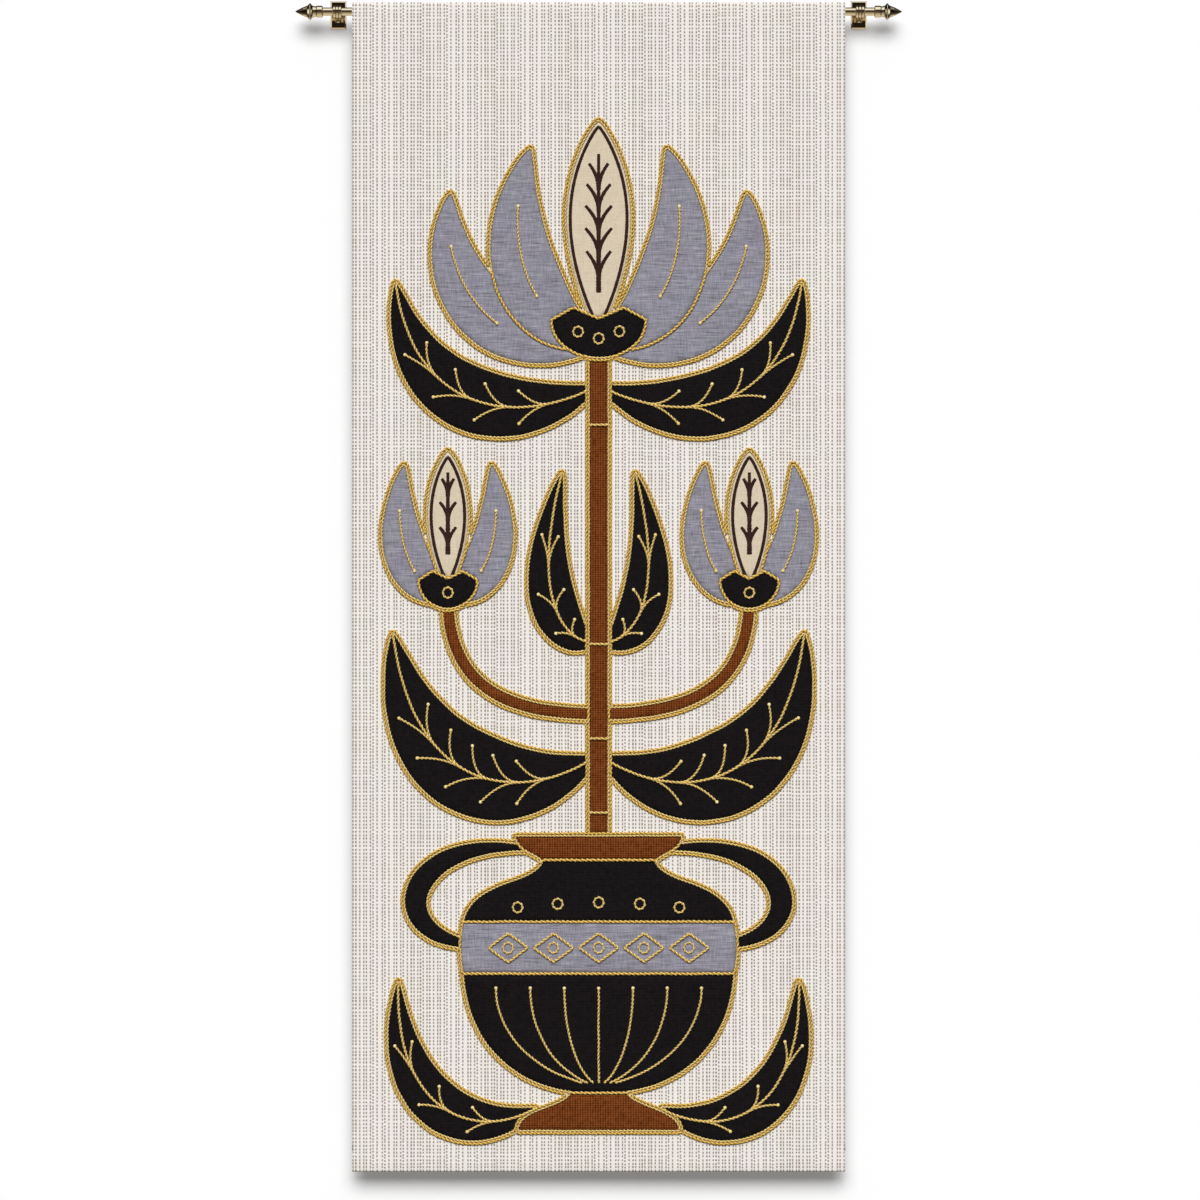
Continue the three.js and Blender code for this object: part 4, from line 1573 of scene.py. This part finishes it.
# %% Rod and its turned ends
rod_edge = 0.6 * MM
points, faces = turn_on_lathe(cylinder(rod_radius, -rod_half, rod_half, rod_edge))
brass_piece("brass_rod", points, faces, (0, rod_y, rod_z), "rod")

finial_edge = 0.7
finial_profile = [         # radius and distance from the rod's end, in mm
    (0, 0), (8.2, 0), (8.7, 1), (8.7, 8), (8.2, 9), (7.6, 10), (8.4, 14), (9.4, 15.6), (12.4, 17.8),
    (12.4, 18.6), (8.9, 22), (6.6, 28.3), (3.2, 35.3), (0.7, 39.6), (0, 40),
]
points, faces = turn_on_lathe(softened(finial_profile, finial_edge) * MM)
for side, sign in (("left", -1), ("right", 1)):
    foot = (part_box(f"finial_{side}")[sign < 0].x, rod_y, rod_z)
    made = brass_piece(f"turned_end_{side}", points * (sign, 1, 1), faces, foot, f"finial_{side}")
    print(made.name, triangles(made), "triangles")

# %% [markdown]
# Each bracket is a ridged ring round the rod, a post back to the wall, a small bevelled plate and
# one screw. The screw's slot is cut with a boolean, because its sharp floor is what shows at this
# size.

# %% The ring and its post
bracket_x = 382 * MM
ring_outer = 8.7
ring_inner = rod_radius / MM + 0.3
ring_width = 13
ridge_count, ridge_depth, ridge_steps = 3, 0.9, 8
ridge_fullness = 0.6       # below 1 a ridge is fuller than a sine
post_radius = 3 * MM
post_edge = 0.3 * MM


def ring_profile():
    """Three rounded ridges outside and a smooth bore inside, as (radius, along)."""
    half, ridge = ring_width / 2, ring_width / ridge_count
    outside = []
    for i in range(ridge_count):
        for t in np.arange(ridge_steps) / ridge_steps:
            sunk = ridge_depth * (1 - math.sin(math.pi * t) ** ridge_fullness)
            outside.append((ring_outer - sunk, -half + (i + t) * ridge))
    outside.append((ring_outer - ridge_depth, half))
    return np.array(outside + [(ring_inner, half), (ring_inner, -half)]) * MM


def bracket_arm(side, sign):
    """The ring, and the post that starts inside the ring's wall."""
    points, faces = turn_on_lathe(ring_profile(), closed=True)
    start = (ring_inner * MM + ring_outer * MM) / 2
    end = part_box(f"bracket_arm_{side}")[1].y - rod_y
    post, post_faces = turn_on_lathe(cylinder(post_radius, start, end, post_edge))
    faces += [tuple(len(points) + corner for corner in corners) for corners in post_faces]
    both = np.concatenate([points, post[:, [1, 0, 2]]])
    at = (sign * bracket_x, rod_y, rod_z)
    return brass_piece(f"ring_and_post_{side}", both, faces, at, f"bracket_arm_{side}")


# %% The plate and its screw
plate_bevel, plate_rim, plate_flat = 1.8 * MM, 1.4 * MM, 0.4 * MM
plate_edge = 0.35 * MM
dome_step = 9              # in degrees
screw_radius, screw_height, slot_width, slot_depth = 4.6 * MM, 2.6 * MM, 1.2 * MM, 1.0 * MM


def wall_plate(side):
    low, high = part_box(f"bracket_plate_{side}")
    rows = [(0.0, high.y), (0.0, high.y - plate_rim), (plate_bevel, low.y),
            (plate_bevel + plate_flat, low.y)]
    points, faces = [], []
    for inset_by, y in rows:
        left, right = low.x + inset_by, high.x - inset_by
        bottom, top = low.z + inset_by, high.z - inset_by
        points += [(left, y, bottom), (right, y, bottom), (right, y, top), (left, y, top)]
    for row in range(0, 12, 4):
        faces += [(row + i, row + (i + 1) % 4, row + 4 + (i + 1) % 4, row + 4 + i) for i in range(4)]
    faces += [(0, 1, 2, 3), (12, 13, 14, 15)]
    made = brass_piece(f"wall_plate_{side}", points, faces, (0, 0, 0), f"bracket_plate_{side}")
    bevel = made.modifiers.new("polished edges", "BEVEL")
    bevel.width = plate_edge
    bevel.segments = 3
    return as_plain_mesh(made)


def wall_screw(side, sign):
    """A domed head, turned towards the wall's own axis, with one level slot."""
    low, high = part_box(f"bracket_screw_{side}")
    middle_z = (low.z + high.z) / 2
    rim = screw_height / 3
    rise = screw_height - rim
    dome = [(screw_radius * math.cos(angle), rim + rise * math.sin(angle))
            for angle in np.radians(range(0, 90, dome_step))]
    points, faces = turn_on_lathe([(0, 0), (screw_radius, 0)] + dome + [(0, screw_height)])
    head = points[:, [1, 0, 2]] * (1, -1, 1)
    at = (sign * bracket_x, high.y, middle_z)
    made = brass_piece(f"slotted_screw_{side}", head, faces, at, f"bracket_screw_{side}")
    half = np.array([(x, y, z) for x in (-1, 1) for y in (-1, 1) for z in (-1, 1)]) / 2
    block = half * (3 * screw_radius, 2 * slot_depth, slot_width) + (sign * bracket_x, low.y, middle_z)
    block_faces = [(0, 1, 3, 2), (4, 6, 7, 5), (0, 4, 5, 1), (2, 3, 7, 6), (0, 2, 6, 4), (1, 5, 7, 3)]
    cutter = new_piece("slot_cutter", block, block_faces)
    boolean = made.modifiers.new("slot", "BOOLEAN")
    boolean.object = cutter
    boolean.operation = "DIFFERENCE"
    as_plain_mesh(made)
    bpy.data.objects.remove(cutter)
    made.data.set_sharp_from_angle(angle=sharp_angle)
    return made


for side, sign in (("left", -1), ("right", 1)):
    made = [bracket_arm(side, sign), wall_plate(side), wall_screw(side, sign)]
    print("bracket:", {part.name: triangles(part) for part in made})

# %% [markdown]
#
# The ground cloth is a sheet that hangs on the rod. It runs over both side hems, the hem, the face,
# the heading, the way round the rod and the seam.

# %% [markdown]
# ## Wall, floor and light
#
# The hanging is shown on a white wall, lit by one broad soft light from above the viewer. The wall
# is there for the camera alone, so that it takes the shadows but neither blocks nor adds light, and
# from behind it can't be seen. A pale floor lies below.

# %% Wall and floor
wall_reach, wall_top = 2.2, 2.6
floor_reach, floor_z = 6.0, -0.5
wall_white = 0.815
wall_glow = 0.19           # the light that the wall gives back from the rest of a white room


def flat_stage(name, corners, material):
    made = new_piece(name, corners, [(0, 1, 2, 3)], material=material)
    made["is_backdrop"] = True
    made.visible_diffuse = made.visible_glossy = False
    return made


def white_wall():
    finish = Finish("white_wall", roughness=1.0, specular=0.0)
    finish.shader.inputs["Emission Color"].default_value = white
    finish.shader.inputs["Emission Strength"].default_value = wall_glow
    parts = {0: finish.add("ShaderNodeNewGeometry").outputs["Backfacing"], 1: finish.shader.outputs[0],
             2: finish.add("ShaderNodeBsdfTransparent").outputs[0]}
    seen = finish.add("ShaderNodeMixShader", parts).outputs[0]
    finish.feed(finish.tree.nodes["Material Output"].inputs["Surface"], seen)
    return finish.paint((wall_white, wall_white, wall_white, 1.0))


around = [(-1, 0), (1, 0), (1, 1), (-1, 1)]
wall_corners = [(x * wall_reach, wall, wall_top if up else floor_z) for x, up in around]
floor_corners = [(x * floor_reach, (2 * back - 1) * floor_reach, floor_z) for x, back in around]
wall_stage = flat_stage("wall_behind", wall_corners, white_wall())
wall_stage.visible_shadow = wall_stage.visible_transmission = False
floor_finish = Finish("pale_floor", roughness=0.8, specular=0.1)
flat_stage("pale_floor", floor_corners, floor_finish.paint(colour(226, 224, 221)))
print(f"the wall reaches {wall_reach} m to each side, and the floor lies {-floor_z} m below the hem")

# %% [markdown]
# Polished brass is dark where it reflects a dark part of the room, so the room matters more than
# the lamps. The room is drawn by height: a bright ceiling light in front, a dark band at eye level,
# and a pale floor. A ramp over the angle from straight ahead, up and over, sets how bright each
# direction is. A second ramp goes out to the sides: the bands end, a dark wall follows, and
# straight aside is a pale one.

# %% The room
room_bands = [             # degrees up from straight ahead, brightness and tint
    (-180, 0.35, (255, 246, 232)), (-150, 0.60, (255, 246, 232)), (-100, 0.95, (255, 244, 228)),
    (-60, 0.62, (255, 246, 232)), (-35, 0.45, (255, 242, 224)), (-26, 0.14, (255, 232, 200)),
    (-2, 0.11, (255, 232, 200)), (3, 0.02, (255, 232, 200)), (12, 0.02, (255, 232, 200)),
    (17, 0.11, (255, 232, 200)), (34, 0.11, (255, 240, 220)), (38, 1.45, (238, 243, 255)),
    (90, 1.45, (238, 243, 255)), (95, 0.09, (255, 244, 228)), (180, 0.09, (255, 244, 228)),
]
room_sides = [             # how far aside, how much of the bands is kept there, and what is added
    (0.50, 1.0, 0.0), (0.62, 0.1, 0.0), (0.90, 0.1, 0.0), (0.955, 0.0, 0.25), (0.985, 0.0, 0.8)]
room_on_cloth = 0.30       # how much of the room's light reaches matt surfaces


def room():
    world = bpy.data.worlds.new("room")
    world.use_nodes = True
    nodes = Nodes(world.node_tree)
    way = nodes.add("ShaderNodeTexCoord").outputs["Generated"]
    x, y, z = nodes.add("ShaderNodeSeparateXYZ", {0: way}).outputs
    angle = nodes.math("ARCTAN2", z, nodes.math("MULTIPLY", y, -1.0))
    turn = nodes.math("MULTIPLY_ADD", angle, 0.5 / math.pi, 0.5)
    bands = nodes.add("ShaderNodeValToRGB", {"Fac": turn})
    elements = bands.color_ramp.elements
    for degrees, *_ in room_bands[1:-1]:
        elements.new((degrees + 180) / 360)
    brightest = max(strength for _, strength, _ in room_bands)
    for element, (_, strength, tint) in zip(elements, room_bands):
        element.color = [part * strength / brightest for part in colour(*tint)[:3]] + [1.0]
    aside = nodes.add("ShaderNodeValToRGB", {"Fac": nodes.math("ABSOLUTE", x)})
    elements = aside.color_ramp.elements
    elements.remove(elements[1])
    for place, kept, added in room_sides:
        elements.new(place).color = (kept, added, 0.0, 1.0)
    elements.remove(elements[0])
    kept, added, _ = nodes.add("ShaderNodeSeparateColor", {0: aside.outputs["Color"]}).outputs
    lit = nodes.vector("MULTIPLY_ADD", bands.outputs["Color"], kept, added)
    ray = nodes.add("ShaderNodeLightPath").outputs
    seen = {0: ray["Is Camera Ray"], 6: lit, 7: (0.5, 0.5, 0.5, 1.0)}
    shade = nodes.add("ShaderNodeMix", seen, data_type="RGBA").outputs[2]
    share = nodes.math("MULTIPLY_ADD", ray["Is Diffuse Ray"], room_on_cloth - 1, 1.0)
    background = world.node_tree.nodes["Background"].inputs
    nodes.feed(background["Color"], shade)
    nodes.feed(background["Strength"], nodes.math("MULTIPLY", share, brightest))
    return world


bpy.context.scene.world = room()
bpy.context.scene.view_settings.view_transform = "Standard"
print("the room is lit in", len(room_bands), "bands")

# %% [markdown]
# The main light stands in front and above, in two halves side by side, and its size softens the
# wall's shadow. It is left out of the brass's reflections, where a round lamp would show. One
# behind lights the back, and none of its light goes on from there to the wall, whose shadow stays
# deep.

# %% Lights
many_bounces = 1024
lights = {                 # strength, spread, height and direction in degrees, and its light's bounces
    "main_left": (1.68, 31, 33, -9, many_bounces),
    "main_right": (1.68, 31, 33, 9, many_bounces),
    "back": (2.2, 30, 40, 180, 0),
}
for name, (strength, spread, elevation, azimuth, bounces) in lights.items():
    lamp = bpy.data.lights.new(f"{name}_light", "SUN")
    lamp.energy = strength
    lamp.angle = math.radians(spread)
    lamp.cycles.max_bounces = bounces
    holder = bpy.data.objects.new(f"{name}_light", lamp)
    holder.rotation_euler = (math.radians(90 - elevation), 0, math.radians(azimuth))
    holder.visible_glossy = False
    bpy.context.scene.collection.objects.link(holder)
print("lights:", ", ".join(lights))

# %% [markdown]
# ## Measure and finish
#
# The dressed hanging's box is printed, with the count of all its triangles. The dressed hanging
# must keep to the frame's box, but for the little that cloth may stand proud.

# %% Sizes and finish
visual_box = [list(corner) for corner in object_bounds()]
for axis, low, high in zip("xyz", *visual_box):
    print(f"{axis}: {low:.4f} to {high:.4f} m")
made_here = [made for made in bpy.data.objects
             if made.type == "MESH" and made.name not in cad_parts]
print("all pieces:", triangles(*made_here), "triangles")
